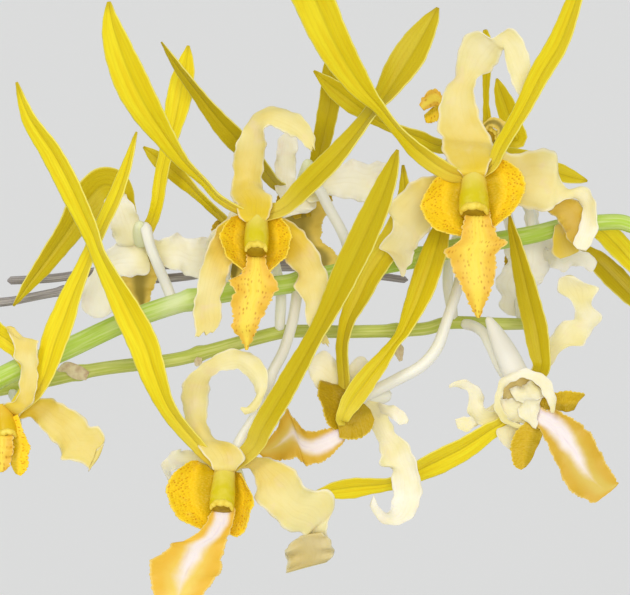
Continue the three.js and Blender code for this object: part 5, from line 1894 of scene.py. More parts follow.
BLOOM_D = BloomPlan(
    petals=[
        [(32.7, 73.8, -11.5, 3.4, 45), (28.3, 68.3, -13.5, 4.2, 50), (25.8, 62.5, -15, 5.4, 36),
         (24.2, 57.5, -16, 5.8, 30), (21.8, 52.5, -17, 5.6, 32), (19.5, 48, -18, 5, 42),
         (16.7, 42.4, -19, 4.4, 58), (15.3, 38.7, -19.5, 4.4, 50), (12.3, 32.2, -21, 5, 42),
         (9, 25.8, -22, 4.8, 42), (5, 19.7, -23, 3.4, 45), (2.8, 13.7, -24, 0.6, 45)],
        [(42, 74.8, -11.5, 3.4, 25), (43.8, 71.3, -13, 4, 25), (47, 66, -14, 4.2, 30),
         (50, 60.8, -15, 4.2, 38), (52.7, 56, -16, 4, 50), (55.3, 51, -17, 4.6, 40),
         (57.7, 45.8, -18, 5.2, 32), (60.5, 40, -19, 5.4, 30), (63.2, 34, -20, 5, 35),
         (65.2, 28.7, -21, 3.2, 35), (66.3, 25, -22, 0.6, 35)],
    ],
    column=[(37.6, 76.8, -9.5, 1.8), (37.3, 80.5, -13, 1.9), (37, 84.2, -15, 1.9)],
    sepals=[
        Edges([(215, 470, 236, 471, -12.8), (207, 459, 244, 458, -12.8), (199, 447, 238, 449, -12),
            (198, 436, 217, 441, -10), (186, 421, 208, 424, -8, -8.4), (181, 402, 207, 403, -6.5, -7.5),
            (184, 385, 208, 388, -7, -8), (192, 372, 213, 377, -8, -9), (205, 362, 222, 371, -9, -10),
            (222, 352, 232, 370, -10, -10.5), (238, 349, 240, 371, -10.5, -11),
            (252, 354, 248, 378, -11.5, -12), (263, 363, 254, 387, -12, -12.5), (268, 377, 255, 396, -12.5),
            (267, 391, 251, 403, -12.8), (260, 404, 246, 408, -13), (254, 412, 242, 407, -13.2),
            (245, 415, 240, 409, -13.2)]),
        Edges([(208, 472, 206, 456, -6), (192, 468, 190, 450, -4.4, -4.8), (180, 468, 177, 450, -2.4, -3),
            (174, 471, 168, 456, -0.6, -1), (171, 476, 162, 466, 1, 0.6), (173, 483, 168, 480, 2.2, 2)]),
        Edges([(249, 470, 259, 457, -9), (257, 485, 277, 461, -10, -10.5), (257, 502, 297, 471, -11, -12),
            (270, 513, 305, 486, -12, -13), (281, 526, 317, 490, -12, -13),
            (291, 533, 332, 491, -11.5, -13), (304, 534, 335, 508, -10.5, -12),
            (296, 541, 328, 521, -9, -11), (284, 551, 328, 536, -8, -9.5), (288, 561, 333, 551, -7.5, -8.5),
            (286, 573, 327, 562, -7, -8)]),
    ],
    painted_shade_insides=[
        Edges([(300, 536, 322, 532, -10.8, -11), (286, 549, 332, 542, -9.8, -10.6),
            (288, 561, 333, 553, -9, -9.8), (286, 572, 327, 561, -8.4, -8.8)]),
    ],
    lip=Edges([(216, 492, 231, 492, -11), (213, 502, 233, 502, -12.5), (212, 509, 234, 509, -14.6),
        (207, 521, 233, 525, -15.6), (196, 537, 228, 538, -17), (173, 543, 224, 550, -18, -18.4),
        (168, 550, 222, 560, -18.8, -19.2), (151, 564, 221, 573, -19.8, -20),
        (150, 580, 213, 583, -20.6, -20.8), (153, 592, 205, 594, -21.2, -21.4), (155, 605, 194, 606, -21.3),
        (160, 616, 181, 618, -20.8), (165, 625, 169, 626, -20.2)]),
    lobes=[
        Edges([(217, 524, 207, 532, -12, -15.4), (216, 514, 193, 528, -11.4, -15.6),
            (216, 505, 178, 520, -11, -15.4), (216, 495, 168, 507, -10.6, -15),
            (216, 485, 165, 490, -10.2, -14.4), (214, 475, 172, 474, -9.6, -13.4),
            (208, 468, 186, 464, -9, -12), (200, 463, 196, 461, -8.6, -10)]),
        Edges([(226, 524, 226, 534, -12, -15.4), (229, 514, 238, 539, -11.4, -15.8),
            (231, 505, 247, 530, -11, -15.8), (232, 496, 253, 515, -10.8, -15.4),
            (233, 487, 255, 500, -10.4, -15), (234, 478, 249, 485, -10, -14),
            (236, 472, 241, 474, -9.4, -12)]),
    ],
    stems=[
        [(38.2, 77.4, -7, 1.8), (39.6, 81.4, -4, 1.6), (40.6, 84.6, -1.5, 0.8)],
        [(38.3, 77.4, -6.5, 1), (40, 73.5, -6.3, 0.9), (42.5, 69.5, -5.5, 0.9), (44.3, 65.5, -5, 0.9),
         (45.5, 62, -4, 0.9), (47.3, 58.5, -3, 0.9), (48.7, 54, -1.6, 0.9), (49.4, 50.2, -0.8, 0.9),
         (49.6, 48, 0, 0.9)],
    ],
    warmth=(0.65, 0.3), tints=(0.1, -0.3, 0.1), look=LipLook.BANDED, inside_shade_warmth=0.3, painted_petal_shades=(0.1, 0.85),
)
BLOOM_E = BloomPlan(
    petals=[
        [(74.7, 28.6, -15, 3.4, 38), (70.2, 25.5, -17, 3.8, 43), (66.7, 22, -19, 3.2, 60),
         (63.4, 18, -21, 3.2, 58), (59.8, 13.8, -23, 5, 35), (55.8, 7.3, -26, 6.6, 28),
         (52.5, 0, -28, 7.2, 25), (49.3, -6.5, -30, 6.6, 25), (46.5, -12, -31, 3.8, 25),
         (44.8, -16, -32, 0.6, 25)],
        [(82, 27.6, -14.5, 2.6, 45), (83.7, 24.3, -16.5, 3.4, 50), (87, 18.7, -19.5, 3.8, 50),
         (90.3, 12.2, -22, 4.6, 42), (93.3, 7.2, -24, 4.8, 45), (96, 0, -26, 3.8, 50),
         (97.5, -5.5, -27, 1, 50)],
    ],
    column=[(79, 28, -12.5, 1.9), (79, 31.5, -15.5, 2.2), (79, 35, -17.5, 2.3)],
    sepals=[
        Edges([(461, 174, 485, 174, -15.4), (451, 164, 491, 162, -14.6), (443, 151, 494, 150, -12.6),
            (442, 145, 494, 146, -11.4), (441, 139, 493, 142, -10), (437, 129, 487, 131, -9.5),
            (439, 119, 481, 120, -9, -9.5), (440, 103, 476, 103, -8.8, -9.2), (446, 88, 475, 87, -8.8, -9),
            (455, 76, 480, 76, -9, -9.2), (456, 60, 488, 73, -9, -9.8), (459, 46, 494, 68, -9.2, -10.4),
            (468, 34, 499, 60, -9.8, -11.2), (480, 31, 501, 53, -11, -12), (493, 38, 503, 49, -12, -12.6),
            (503, 32, 504, 50, -12.6, -12.8), (511, 28, 505, 57, -12.8, -13),
            (521, 37, 508, 68, -13.4, -13.6), (528, 51, 512, 81, -14), (532, 70, 517, 94, -14.4),
            (530, 90, 521, 103, -14.5), (525, 106, 523, 107, -14.5)]),
        Edges([(436, 176, 455, 200, -11, -11.5), (421, 178, 447, 214, -10, -11),
            (408, 186, 438, 224, -9.6, -10.5), (393, 199, 429, 231, -9.4, -10),
            (387, 210, 423, 237, -9.4, -9.8), (393, 221, 419, 243, -9.4, -9.6),
            (391, 232, 416, 249, -9.4, -9.6), (378, 247, 414, 254, -9.2, -9.6),
            (389, 254, 411, 262, -9.6, -9.8), (397, 266, 407, 270, -10.4), (401, 276, 404, 277, -11)]),
        Edges([(500, 151, 498, 200, -11), (515, 155, 515, 206, -10.5), (531, 150, 531, 209, -10, -10.5),
            (549, 150, 544, 213, -9.6, -10.5), (557, 155, 550, 211, -9.8, -10.6),
            (559, 176, 556, 206, -9.8, -10.6), (567, 187, 563, 200, -10, -10.8),
            (584, 186, 574, 199, -11, -10.8), (594, 196, 582, 207, -12, -11),
            (598, 211, 583, 220, -12.8, -11.6), (598, 227, 577, 235, -13.2, -12.4),
            (592, 243, 573, 243, -13.4, -13), (586, 251, 577, 249, -13.5, -13.4)]),
        Edges([(558, 217, 559, 217, -3.6), (554, 228, 566, 226, -3.4), (552, 243, 575, 239, -3.2),
            (554, 255, 580, 250, -3), (560, 259, 570, 256, -3)]),
    ],
    painted_shade_insides=[
        Edges([(548, 212, 566, 196, -9.8, -10), (556, 218, 581, 203, -9.4, -9.6),
            (562, 228, 586, 218, -9.4, -9.8), (567, 237, 582, 235, -10.4, -11),
            (571, 243, 577, 244, -12, -12.4)]),
    ],
    lip=Edges([(466, 196, 486, 196, -13), (464, 206, 488, 206, -14.4), (465, 216, 490, 216, -17.6),
        (462, 230, 494, 229, -18.4), (459, 242, 499, 238, -19), (444, 252, 508, 243, -19.4),
        (450, 262, 497, 253, -19.8), (454, 273, 496, 266, -20), (460, 283, 494, 280, -20),
        (465, 295, 490, 293, -19.8), (471, 307, 484, 306, -19.2), (477, 318, 480, 318, -18.4)]),
    lobes=[
        Edges([(471, 230, 457, 237, -15.4, -18.6), (468, 222, 444, 235, -14.6, -18.4),
            (467, 213, 431, 228, -14, -18), (466, 204, 422, 218, -13.6, -17.6),
            (466, 195, 419, 206, -13.2, -17), (464, 187, 424, 193, -12.8, -16.4),
            (459, 182, 433, 181, -12.4, -15.4), (452, 180, 444, 178, -12, -13.4)]),
        Edges([(482, 226, 496, 228, -15.4, -18.6), (484, 218, 505, 221, -14.6, -18.4),
            (485, 209, 515, 212, -14, -18), (486, 199, 524, 200, -13.6, -17.6),
            (486, 190, 527, 186, -13.4, -17.2), (486, 181, 521, 170, -13.2, -16.8),
            (487, 172, 507, 160, -12.8, -16), (488, 166, 495, 162, -12.4, -14)]),
    ],
    stems=[
        [(79.2, 29.4, -11, 2), (80.3, 33.4, -7.5, 1.7), (80.8, 36.6, -5, 0.8)],
        [(79.1, 29.4, -10.5, 1), (79.3, 32.6, -3, 0.9), (77.5, 37, 2.6, 0.9), (75.2, 42, 4.4, 0.9),
         (74.6, 47, 5.2, 0.9), (75.3, 51.6, 6.4, 0.9), (75.5, 53.6, 7, 0.8)],
    ],
    warmth=(0.9, 0.35), tints=(0, 0, -0.12, 0.6), painted_petal_shades=(0.3, 0.3),
)
BLOOM_A = BloomPlan(
    petals=[
        [(5.3, 66.4, -8.2, 2.4, 40), (7.3, 63, -8.8, 4, 40), (9.2, 57, -9.2, 5.2, 30),
         (10.7, 53, -9.6, 5, 33), (12.3, 48.7, -10, 4.4, 40), (14.8, 43, -10.5, 3.8, 56),
         (17.2, 37.5, -11, 3.6, 50), (19.5, 32.5, -12, 3.6, 48), (21.3, 27.5, -13, 2.6, 50),
         (22.8, 22, -14, 0.5, 50)],
        [(4.2, 65, -4.4, 2.2, 40), (4.6, 61.4, -3.8, 2.6, 35), (3.4, 58.6, -3.8, 3.2, 20),
         (1.4, 56.8, -4, 3.5, 15), (-1.4, 54.8, -4.6, 4, 20), (-5.5, 50, -5.6, 4.8, 25),
         (-9.6, 43, -6.8, 4.4, 25), (-12.8, 34.5, -8, 0.6, 25)],
    ],
    column=[(0.4, 68, -6.5, 2), (1, 72.3, -8.6, 1.7)],
    sepals=[
        Edges([(4, 404, 20, 415, -9), (14, 401, 30, 406, -9.8, -10), (19, 392, 36, 393, -10, -10.2),
            (20, 378, 38, 379, -10, -10.2), (20, 365, 38, 366, -9.8, -10.2), (14, 357, 37, 357, -9.4, -10),
            (15, 346, 38, 349, -9, -10), (12, 338, 39, 341, -8.6, -9.8), (8, 332, 28, 341, -8.4, -9.4),
            (6, 327, 17, 331, -8.6, -9), (10, 326, 15, 328, -8.8, -9)]),
        Edges([(30, 418, 36, 400, -5.6, -5.8), (38, 425, 50, 398, -5.8, -6), (47, 434, 60, 403, -6, -6.2),
            (56, 444, 72, 408, -6.4, -6.6), (61, 455, 82, 416, -6.8, -7), (64, 461, 90, 426, -7.2, -7.6),
            (78, 461, 101, 428, -7.6, -8), (88, 468, 106, 440, -8, -8.2), (89, 472, 97, 450, -8.2, -8.4)]),
        [(-1.5, 71.5, -5, 4.6, 0), (-4, 75, -6, 5.4, 0), (-5.5, 79.5, -8, 4.6, 0), (-5.8, 83, -9, 1.2, 0)],
    ],
    lip=Edges([(-6, 424, 12, 425, -8.6), (-13, 438, 13, 440, -10), (-16, 451, 13, 452, -10.4),
        (-13, 462, 11, 461, -10.2), (-8, 469, 8, 468, -10), (-3, 472, 3, 472, -9.8)]),
    lobes=[
        Edges([(10, 419, 18, 414, -8, -8.4), (12, 428, 23, 430, -8.2, -8.8), (13, 438, 27, 439, -8.6, -9.4),
            (13, 447, 31, 448, -9, -10), (12, 456, 28, 457, -9.4, -10.2), (11, 463, 29, 464, -9.6, -10.2),
            (13, 469, 26, 471, -9.6, -10), (16, 474, 21, 476, -9.6, -9.8)]),
        [(1.3, 73, -8.4, 1.6, 0), (-0.5, 73.3, -8.6, 2.8, -15), (-1.5, 71.3, -8.4, 2.8, -20),
         (-1.2, 69.7, -8, 1.2, 0)],
    ],
    stems=[
        [(2, 69, -4.5, 1.5), (2.2, 71.6, -2.5, 1.4), (2.4, 73.6, -1, 0.7)],
        [(2.2, 69, -4, 1), (2.6, 67.6, -1.5, 0.8), (2.6, 66.6, 2.5, 0.8), (2, 65.4, 6.2, 0.8)],
    ],
    warmth=(0.95, 0.7), column_gold=0.75, painted_petal_shades=(0.15, 0.15),
)
BLOOM_B = BloomPlan(
    petals=[
        [(26, 35, 19.5, 2.2, 20), (27, 29, 18.5, 2.8, 35), (28.2, 24, 18, 2.8, 30),
         (29.3, 19.5, 17.5, 4.2, 25), (30.2, 15, 17, 4.6, 15), (31, 10.8, 16.5, 3.2, 15),
         (31.4, 7.6, 16, 0.5, 15)],
        [(22, 38.4, 19.6, 3, 0), (20.6, 34.6, 18.6, 4, 0), (19.3, 31.4, 17.8, 5.8, 0),
         (16.8, 31.2, 17, 6.6, 10), (13.8, 34.6, 16.2, 6.2, 20), (11.3, 38.5, 15.5, 4.6, 25),
         (7.7, 43.5, 15, 3.8, 30), (4.6, 47.6, 14.5, 2.2, 30), (2.2, 51, 14, 0.4, 30)],
    ],
    column=[(23.7, 40, 21.5, 1.7), (23.7, 41.5, 26.5, 1.7)],
    sepals=[
        Edges([(118, 245, 147, 238, 16.6), (110, 228, 138, 216, 15.4), (105, 210, 130, 200, 15.6),
            (95, 197, 117, 184, 18.4), (84, 190, 98, 176, 19.6), (79, 186, 82, 178, 19.8)]),
        Edges([(138, 246, 149, 272, 18), (122, 243, 133, 277, 17.6, 18), (107, 249, 121, 276, 17.6, 18.4),
            (96, 266, 114, 284, 17.8, 18.6), (86, 283, 114, 295, 18, 18.8), (80, 299, 114, 306, 18.2, 18.8),
            (84, 311, 109, 314, 18.4, 18.6), (94, 318, 103, 318, 18.6)]),
        Edges([(157, 241, 156, 260, 18), (167, 237, 167, 268, 17.6, 17.8), (178, 233, 179, 271, 17.4, 17.8),
            (189, 239, 188, 275, 18.2, 17.6), (200, 238, 199, 279, 18, 18.2),
            (212, 237, 208, 280, 18.6, 18.8), (216, 246, 213, 272, 19)]),
    ],
    lip=Edges([(130, 262, 150, 262, 25.5), (122, 275, 158, 275, 26), (124, 287, 154, 287, 25.6),
        (132, 299, 150, 298, 24.8), (140, 308, 146, 308, 24)]),
    lobes=[
        [(23.4, 44, 25.8, 1.8, 0), (21.3, 43.8, 26.5, 3, 0), (20.6, 41.8, 28, 2.6, 0),
         (21, 40.4, 28, 1, 0)],
        [(24, 44, 25.8, 1.8, 0), (26.1, 43.8, 26.5, 3, 0), (26.8, 41.8, 28, 2.6, 0),
         (26.4, 40.4, 28, 1, 0)],
    ],
    stems=[
        [(23.7, 40.6, 18.5, 1.8), (23.4, 38.5, 15.5, 1.3), (23.3, 37, 14, 0.8)],
        [(23.8, 40, 18.2, 1), (24.2, 38, 15, 1), (25, 41, 12, 0.9), (26.4, 44.5, 8, 0.9),
         (27.8, 47.8, 3.5, 0.9), (28.8, 50.4, 0, 0.9)],
    ],
    painted_petal_shades=(0.1, 0.75), look=LipLook.PLAIN, lobe_shade=0.9,
)
BLOOM_F = BloomPlan(
    petals=[
        [(46.3, 30.8, 19, 2.4, 40), (43.5, 27.6, 13, 3.2, 45), (40, 23.8, 10, 4.4, 30),
         (36.5, 20, 8.5, 3.8, 35), (33, 15.5, 8, 3, 50), (30, 11.5, 7.5, 2.4, 50), (26.9, 7, 7, 0.4, 50)],
        [(52.4, 28.2, 21, 2.4, 20), (53.4, 25, 18, 3.2, 20), (54.3, 20.8, 14, 3.6, 20),
         (55.1, 16.5, 13, 3.8, 20), (55.2, 12, 12, 3.2, 20), (54.8, 8.5, 11.5, 0.6, 20)],
    ],
    column=[(50.3, 31.7, 23, 1.7), (50.5, 33, 28, 1.7)],
    sepals=[
        Edges([(283, 204, 303, 200, 20.4), (275, 186, 297, 184, 19.4), (275, 168, 296, 168, 19),
            (276, 151, 297, 152, 18.6), (280, 138, 297, 140, 18.2), (287, 131, 293, 131, 18)]),
        Edges([(292, 192, 316, 203, 20.6), (283, 203, 311, 212, 20.4), (277, 211, 298, 214, 20.4),
            (273, 217, 284, 218, 20.6)]),
        Edges([(312, 178, 312, 203, 19.6), (326, 170, 327, 197, 18.6), (340, 164, 341, 197, 18, 18.2),
            (353, 160, 354, 200, 17.6, 18.2), (366, 164, 366, 203, 18.4, 18),
            (379, 161, 378, 198, 18.2, 18.6), (392, 164, 388, 186, 19)]),
    ],
    lip=Edges([(264, 203, 326, 201, 27), (264, 214, 331, 211, 27), (270, 224, 323, 221, 26.8),
        (280, 235, 321, 232, 26.6), (292, 246, 323, 243, 26.4), (304, 252, 333, 250, 26.2),
        (310, 260, 338, 259, 26), (314, 267, 332, 268, 25.8)]),
    lobes=[
        [(50.3, 35.4, 27, 1.8, 0), (48, 35.2, 27.5, 3, 0), (47.4, 33.2, 29, 2.6, 0),
         (47.9, 31.8, 29, 1, 0)],
        [(50.8, 35.4, 27, 1.8, 0), (53.4, 34.4, 27.5, 3, 0), (53.9, 32.2, 29, 2.6, 0),
         (53.2, 30.8, 29, 1, 0)],
    ],
    stems=[
        [(50.6, 31.6, 20, 1.7), (51.2, 28.6, 16, 1.3), (51.4, 26.6, 14.5, 0.8)],
        [(50.6, 31.6, 19.5, 1), (52, 30.6, 16, 0.9), (53.3, 31.8, 14, 0.9), (55, 35, 11, 0.9),
         (57, 38.6, 7.5, 0.9), (58, 41.5, 4, 0.9), (58, 44.8, 0.5, 0.9)],
    ],
    painted_petal_shades=(1, 0.95), look=LipLook.PLAIN, lobe_shade=0.9,
)
BLOOM_G = BloomPlan(
    petals=[
        [(73.3, 24.3, 9.5, 2.8, 30), (69.7, 22.8, 8, 2.8, 30), (66.3, 21.5, 6.5, 2.4, 48),
         (63.3, 20.2, 5.5, 2.4, 50), (60.5, 18.3, 5, 3.2, 30), (58, 16.4, 4.5, 4.2, 20),
         (55, 14.1, 4, 2.8, 20), (52.3, 11.8, 3.5, 0.4, 20)],
        [(84.5, 25.8, 11.5, 2.8, 20), (88.5, 27, 10.4, 3.4, 20), (92.4, 28.6, 9.4, 3.4, 20),
         (95.4, 29.6, 8.6, 2.6, 20), (97.9, 30.2, 8, 0.4, 20)],
    ],
    column=[(78.3, 25, 15, 1.6), (77.8, 23.8, 19, 1.6)],
    sepals=[
        [(79, 29, 12.5, 3.8, 0), (80, 32.5, 12.5, 3.6, 0), (81, 35.5, 12, 2.6, 0),
         (81.5, 37.5, 12, 0.8, 0)],
        [(75, 28.5, 13, 4, 0), (73.5, 31.5, 13.5, 3.6, 0), (73, 34, 13.5, 1, 0)],
        [(76.5, 21.5, 13, 3.6, 0), (75.8, 18.5, 14, 3.2, 0), (75.2, 16.5, 14, 0.8, 0)],
    ],
    lip=Edges([(459, 126, 462, 138, 18.4), (446, 104, 448, 120, 18), (438, 91, 441, 110, 17.8),
        (430, 90, 436, 107, 17.4, 17.8), (423, 97, 430, 108, 17.2, 17.4), (419, 105, 424, 111, 17.2)]),
    lobes=[
        [(76, 21.6, 18.4, 1.4, 0), (76.6, 20.4, 19.6, 2.4, 0), (77.8, 19.8, 20.6, 2, 0),
         (78.6, 20.6, 20.6, 0.8, 0)],
        Edges([(445, 105, 443, 116, 18.4), (438, 105, 438, 120, 18), (431, 109, 432, 123, 17.8),
            (424, 115, 426, 123, 17.6)]),
    ],
    stems=[
        [(78.4, 25.4, 12.5, 1.6), (79, 27.6, 9.5, 1.2), (79.3, 29.4, 8, 0.7)],
        [(78.6, 25.2, 12, 1), (81.5, 28, 7, 0.9), (85.5, 31.5, 4.4, 0.9), (88.2, 34.8, 2.8, 0.9),
         (88.8, 38.6, 0.4, 0.9)],
    ],
    painted_petal_shades=(0.5, 0.6),
)
BLOOM_H = BloomPlan(
    petals=[
        [(57.3, 61.3, -7.8, 2.6, 42), (57.2, 57.5, -8, 2.8, 48), (58, 53.7, -8, 3.4, 45),
         (59.7, 50, -7.2, 4.4, 35), (61.7, 45.8, -6.4, 5.2, 33), (64.2, 42, -5.6, 5, 33),
         (66.3, 38, -4.4, 4.4, 33), (67.5, 33, -3.6, 3, 35), (67.2, 27.5, -3.4, 0.5, 35)],
        [(57, 70, -10.4, 1.6, 0), (58.5, 67, -10.8, 3.8, 0), (60.9, 63.6, -10.4, 3.7, 8),
         (63.6, 60.2, -9.6, 3, 25), (65.6, 57.6, -9, 2.2, 48), (67.3, 55.3, -9, 2.8, 45),
         (69.2, 51.3, -9, 4.4, 35), (70.7, 47.5, -8.6, 5, 30), (72.2, 43, -7.4, 5, 30),
         (73.5, 38.7, -5.6, 3.8, 30), (74.6, 34.6, -4.6, 0.5, 30)],
    ],
    column=[(58.2, 69, -5.6, 1.2), (57.6, 69.8, -7.6, 1.2)],
    sepals=[
        Edges([(352, 380, 352, 399, -4), (345, 373, 340, 391, -3.8), (337, 364, 327, 391, -3.4),
            (330, 352, 317, 387, -3), (318, 354, 312, 379, -2.6), (310, 362, 308, 370, -2.2)]),
        [(59.4, 63.4, -3.4, 3.4, 0), (60.2, 61, -2.4, 3.4, 0), (61.2, 60.2, -2, 1.6, 0)],
        Edges([(374, 416, 374, 402, -4.4), (384, 416, 385, 405, -5.2), (393, 419, 396, 406, -6),
            (400, 424, 405, 413, -6.4), (407, 424, 409, 420, -6.6)]),
        Edges([(364, 411, 382, 405, -4.6, -4.8), (369, 424, 390, 420, -4.8, -5.2),
            (377, 440, 397, 434, -5, -5.6), (382, 454, 408, 444, -5.4, -6),
            (380, 466, 416, 459, -5.8, -6.4), (390, 468, 420, 475, -6, -6.8),
            (392, 481, 421, 491, -6.2, -7), (393, 497, 418, 509, -6.2, -7), (390, 510, 409, 521, -6, -6.6),
            (384, 512, 395, 524, -5.4, -5.8), (378, 505, 380, 522, -4.6, -4.8),
            (374, 495, 370, 506, -3.8)]),
    ],
    lip=Edges([(346, 422, 346, 436, -6.6), (338, 425, 341, 444, -7.8), (325, 429, 333, 454, -8),
        (310, 431, 320, 463, -7.8), (297, 423, 306, 465, -7.4), (289, 408, 299, 458, -7),
        (282, 418, 290, 459, -6.8), (275, 431, 279, 461, -6.4), (265, 444, 266, 458, -6),
        (258, 451, 259, 454, -5.8)]),
    lobes=[
        Edges([(345, 428, 334, 430, -7.4, -8.4), (348, 418, 327, 424, -7, -8.8),
            (349, 406, 321, 408, -6.6, -8.8), (349, 396, 317, 394, -6.4, -8.4),
            (346, 388, 319, 384, -6, -7.4), (337, 386, 326, 383, -5.4, -6)]),
        Edges([(336, 414, 340, 438, -9, -9.2), (344, 406, 350, 440, -9.2, -9.6),
            (355, 403, 361, 438, -9.2, -9.6), (364, 405, 370, 430, -9), (370, 410, 374, 420, -8.6)]),
    ],
    stems=[
        [(59.4, 66.6, -4.6, 1.6), (62, 66.4, -2.4, 1.5), (65.2, 65.6, -1, 1.2)],
        [(59.6, 66.4, -4.6, 1.1), (63.5, 64.6, -5, 1), (67, 62.8, -5.2, 1), (70.2, 61, -5, 1),
         (72.8, 58, -4.6, 1), (74.5, 53.3, -4, 0.9), (76.1, 48.5, -3, 0.9), (77, 44.5, -1.6, 0.9),
         (77.2, 42, -0.4, 0.9)],
    ],
    warmth=(0.35, 0.15), look=LipLook.BANDED, painted_petal_shades=(0.6, 0.5), lobe_shade=0.9, lip_shade=0.3,
    spur_green=0.2,
)
BLOOM_I = BloomPlan(
    petals=[
        [(90.2, 61.5, -11, 2.8, 20), (90, 58.3, -11, 4, 25), (89.3, 54.2, -10, 4.4, 25),
         (88.3, 50, -10.6, 4.2, 30), (87.3, 45.8, -11, 3.8, 35), (86.3, 41.7, -11.4, 2.8, 40),
         (85.5, 38.4, -11.6, 1.8, 40), (84.9, 35.8, -11.8, 0.4, 40)],
        [(84.2, 70, -6.4, 2.4, 30), (81.7, 71.7, -5.4, 3.2, 30), (77.5, 74.5, -4, 4.4, 30),
         (73.3, 76.7, -2.6, 4.8, 30), (70, 78.3, -1.2, 4.4, 35), (66.7, 80, -0.2, 3.2, 45),
         (64, 80.7, -0.2, 2.8, 45), (61, 81, -0.8, 3.4, 30), (58.3, 81.3, -1.6, 4, 25),
         (55.3, 81.7, -2.4, 3.2, 25), (52, 82.3, -3, 0.4, 25)],
    ],
    column=[(87.6, 65.4, -6.8, 1), (88.2, 66.2, -7.8, 1)],
    sepals=[
        Edges([(527, 420, 530, 425, -9.6, -9.4), (516, 423, 516, 429, -10, -9.8),
            (507, 416, 502, 420, -10.4, -10.2), (502, 407, 495, 409, -10.8, -10.6),
            (502, 397, 495, 396, -11.2, -11), (505, 387, 499, 382, -11.6, -11.4),
            (513, 381, 510, 374, -12.2, -12), (524, 379, 524, 369, -12.7, -12.4),
            (534, 382, 539, 372, -13, -12.8), (541, 390, 549, 381, -13.2, -12.8),
            (546, 400, 555, 394, -13.2, -12.8), (549, 408, 556, 405, -13, -12.8),
            (551, 413, 554, 413, -12.8)]),
        Edges([(499, 422, 500, 408, -5.6, -6), (481, 424, 487, 409, -5.4, -6),
            (468, 416, 484, 403, -5.4, -6), (468, 404, 482, 394, -5.4, -6.2),
            (469, 394, 477, 386, -5.6, -6.4), (464, 388, 468, 380, -5.8, -6.4),
            (456, 387, 458, 380, -6, -6.4), (449, 388, 449, 385, -6.2, -6.4)]),
        Edges([(540, 358, 548, 370, -6.2, -6.4), (547, 346, 566, 348, -6), (552, 335, 583, 345, -6),
            (562, 322, 592, 332, -6), (574, 319, 603, 318, -6.2), (575, 308, 595, 310, -6.6),
            (570, 300, 592, 300, -7), (557, 290, 599, 288, -7.4), (559, 279, 584, 282, -8),
            (565, 276, 574, 276, -8.4)]),
        Edges([(520, 420, 508, 422, -7, -6.8), (524, 432, 497, 432, -6.6, -6.4),
            (522, 440, 502, 444, -6.4, -6.2), (516, 448, 510, 450, -6.2)]),
        Edges([(480, 412, 478, 425, -5), (470, 416, 468, 432, -4.8), (462, 418, 459, 430, -4.8),
            (455, 419, 456, 424, -4.8)]),
        Edges([(500, 398, 504, 412, -9.6), (510, 398, 511, 421, -9.8), (521, 398, 521, 424, -9.4),
            (528, 400, 528, 424, -9.8)]),
        Edges([(520, 397, 541, 397, -9.8, -10.8), (518, 406, 539, 406, -10, -11.2),
            (520, 415, 539, 415, -10, -11.2), (527, 422, 538, 422, -10.6, -11.4),
            (533, 428, 536, 429, -11.2, -11.4)]),
        Edges([(530, 383, 545, 396, -10.4, -10.8), (525, 384, 538, 401, -10.4, -11.2),
            (520, 385, 531, 402, -9.8, -11), (515, 387, 523, 402, -10.2, -10.6),
            (509, 389, 516, 401, -9.8, -10.4)]),
    ],
    lip=Edges([(534, 398, 528, 412, -9), (544, 409, 535, 423, -10.6), (556, 411, 541, 432, -11),
        (574, 419, 549, 447, -11.4), (589, 432, 558, 468, -11.8), (599, 448, 569, 489, -12.2),
        (606, 463, 580, 497, -12.4), (612, 473, 593, 503, -12.4), (616, 480, 606, 495, -12.4),
        (619, 483, 616, 487, -12.4)]),
    lobes=[
        Edges([(538, 410, 542, 398, -9.8), (555, 410, 553, 393, -10.2, -10.8),
            (564, 411, 566, 391, -10, -10.8), (572, 410, 583, 393, -9.8, -10.4),
            (573, 404, 578, 400, -9.6, -10)]),
        Edges([(540, 424, 534, 416, -10.4, -9.6), (543, 434, 516, 432, -10.4, -9.8),
            (538, 446, 511, 448, -10.2, -9.8), (532, 459, 514, 465, -10, -9.8),
            (526, 467, 521, 470, -9.8)]),
    ],
    painted_shade_insides=[
        Edges([(503, 384, 503, 402, -9.2), (514, 376, 514, 400, -9.4), (526, 374, 526, 398, -9.4),
            (538, 380, 537, 400, -9.4), (548, 392, 545, 404, -9.4)]),
    ],
    stems=[
        [(87.2, 65, -6.4, 2.2), (84.6, 59.4, -5, 2), (82.6, 55.4, -3.8, 1.3), (81.2, 52.8, -3, 0.5)],
        [(86.6, 65.6, -6, 1.1), (83.6, 61.6, -2.8, 0.9), (81.8, 57.8, 0, 0.9), (80.6, 55.6, 2.6, 0.9),
         (79, 54.4, 4.6, 0.9), (77, 53.9, 6.4, 0.9)],
    ],
    warmth=(0.5, 0.2), look=LipLook.BANDED, painted_petal_shades=(0.9, 0.15), lobe_shade=0.7, lip_shade=0.35,
    inside_shade_warmth=0.5, spur_green=0.05,
)
